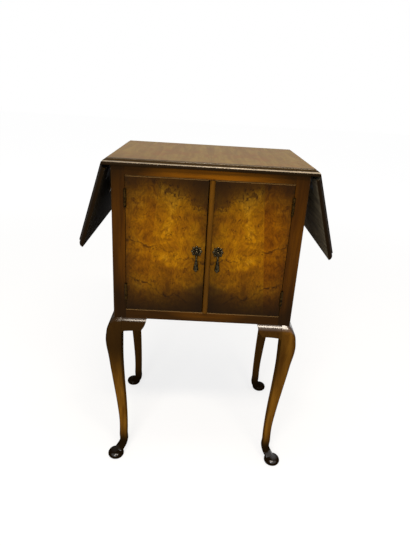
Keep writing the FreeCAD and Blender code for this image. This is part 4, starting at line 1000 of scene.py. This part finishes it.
screw_brass = tarnished("screw_brass", "#6a5224", "#1c1408", 3 * MM, smooth=0.25, rough=0.5)
screw_iron = tarnished("screw_iron", "#3a3733", "#14110e", 3 * MM, smooth=0.35, rough=0.6)
for side, sign in (("left", -1), ("right", 1)):
    flip = np.array((sign, 1, 1))
    under_leaf = (-SLANT[0], 0, -SLANT[1])
    on_stile, on_door, on_flap, on_side, on_leaf_lug, on_catch = [], [], [], [], [], []
    for middle in HINGE_MIDDLES:
        for number, (rise, y) in enumerate(HINGE_SCREWS):
            place = (HINGE_AXIS_X + HALF_GAP, y, middle + rise)
            on_stile.append(slotted_screw(place, (-1, 0, 0), HINGE_PROUD, number * 1.1))
            place = (HINGE_AXIS_X - HALF_GAP, y, middle + rise)
            on_door.append(slotted_screw(place, (1, 0, 0), HINGE_PROUD, number * 0.8))
    for end in (-1, 1):
        for number, (x, y) in enumerate(LEAF_SCREWS):
            place = on_leaf(x, end * LEAF_HINGE_Y + y, FLAP_FACE)
            on_flap.append(slotted_screw(place, under_leaf, FLAP_PROUD, number * 1.3))
    low, high = np.array(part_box(f"catch_plate_{side}"))
    middle = (low + high) / 2
    for way in (-1, 1):
        place = (SIDE_LUG_FACE, -LUG_Y, LUG_ON_SIDE + way * LUG_SCREW)
        on_side.append(slotted_screw(place, (1, 0, 0), LUG_PROUD, way + 0.6))
        place = on_leaf(LUG_ON_LEAF + way * LUG_SCREW, LUG_Y, LEAF_LUG_FACE)
        on_leaf_lug.append(slotted_screw(place, under_leaf, LUG_PROUD, way + 0.3))
        place = (middle[0] + way * CATCH_SCREW, high[1], middle[2])
        on_catch.append(slotted_screw(place, (0, 1, 0), CATCH_PROUD, way + 0.5,
                                      CATCH_SCREW_RADIUS))
    for what, body, slot, material, heads in (
            ("stile_screws", "carcase", "brass", screw_brass, on_stile),
            ("door_screws", f"door_{side}", "brass", screw_brass, on_door),
            ("leaf_hinge_screws", f"leaf_{side}", "hinge_steel", screw_iron, on_flap),
            ("side_lug_screws", "carcase", "brass", screw_brass, on_side),
            ("leaf_lug_screws", f"leaf_{side}", "brass", screw_brass, on_leaf_lug)):
        carved(f"{what}_{side}", [head * flip for head in heads], body, material)
    carved(f"catch_screws_{side}", on_catch, f"door_{side}", screw_iron)

# ---------------------------------------------------------------------- studio
# A pale paper floor that runs out to a white surround, an even sky, two warm
# lamps overhead for the polish and a soft white one in front.
FLOOR_HALF = 12.0
# To the eye the paper glows less near the cabinet, where it keeps the shadow,
# than far off, where it runs out to white.
GLOW_FROM = 0.3
GLOW_TO = 3.0
GLOW_NEAR = 0.73
GLOW_FAR = 0.88
SKY_LIGHT = 0.4
WARM_LAMP = "#fff2e0"
CABINET_MIDDLE = Vector((0.0, 0.0, 0.5))
floor_mesh = bpy.data.meshes.new("floor")
floor_corners = [(x * FLOOR_HALF, y * FLOOR_HALF, 0)
                 for x, y in ((-1, -1), (1, -1), (1, 1), (-1, 1))]
floor_mesh.from_pydata(floor_corners, [], [(0, 1, 2, 3)])
shown("floor", floor_mesh)


def seen_or_mirrored(tree):
    """1 for rays from the camera, a mirror or glass, and 0 for others."""
    total = add(tree, "Math", {0: add(tree, "LightPath", out="Is Camera Ray"),
                               1: add(tree, "LightPath", out="Is Glossy Ray")})
    through = add(tree, "LightPath", out="Is Transmission Ray")
    return add(tree, "Math", {0: total, 1: through}, use_clamp=True)


floor_paper, tree, surface, where = new_material("white_paper")
seen = seen_or_mirrored(tree)
paper = add(tree, "Mix", {0: seen, 6: "#e6e6e6", 7: "#8f8f8f"}, **COLOUR)
away = add(tree, "VectorMath", {0: where}, out="Value", operation="LENGTH")
glow = add(tree, "MapRange", {0: away, 1: GLOW_FROM, 2: GLOW_TO, 3: GLOW_NEAR, 4: GLOW_FAR})
glow = add(tree, "Math", {0: seen, 1: glow}, **TIMES)
fill(tree, surface, {"Base Color": paper, "Roughness": 0.9, "Specular IOR Level": 0.0,
                     "Emission Color": "#ffffff", "Emission Strength": glow})
floor_mesh.materials.append(floor_paper)

world = bpy.data.worlds.new("even_sky")
world.use_nodes = True
bpy.context.scene.world = world
tree = world.node_tree
strength = add(tree, "MapRange", {0: seen_or_mirrored(tree), 3: SKY_LIGHT, 4: 1.0})
fill(tree, tree.nodes["Background"], {"Color": "#ffffff", "Strength": strength})


def lamp(name, place, width, height, power, colour="#ffffff"):
    """An oblong soft lamp that faces the middle of the cabinet."""
    made = shown(name, bpy.data.lights.new(name, "AREA"))
    made.data.shape = "RECTANGLE"
    made.data.size = width
    made.data.size_y = height
    made.data.color = linear(colour)[:3]
    made.data.energy = power
    made.location = place
    direction = CABINET_MIDDLE - Vector(place)
    made.rotation_euler = direction.to_track_quat("-Z", "Y").to_euler()


lamp("overhead", (0.1, -1.25, 2.05), width=1.3, height=0.2, power=30, colour=WARM_LAMP)
lamp("above", (0.1, -0.3, 2.4), width=1.2, height=0.5, power=11, colour=WARM_LAMP)
lamp("front", (-0.6, -2.6, 1.6), width=1.0, height=1.0, power=36)
bpy.context.scene.view_settings.view_transform = "Standard"
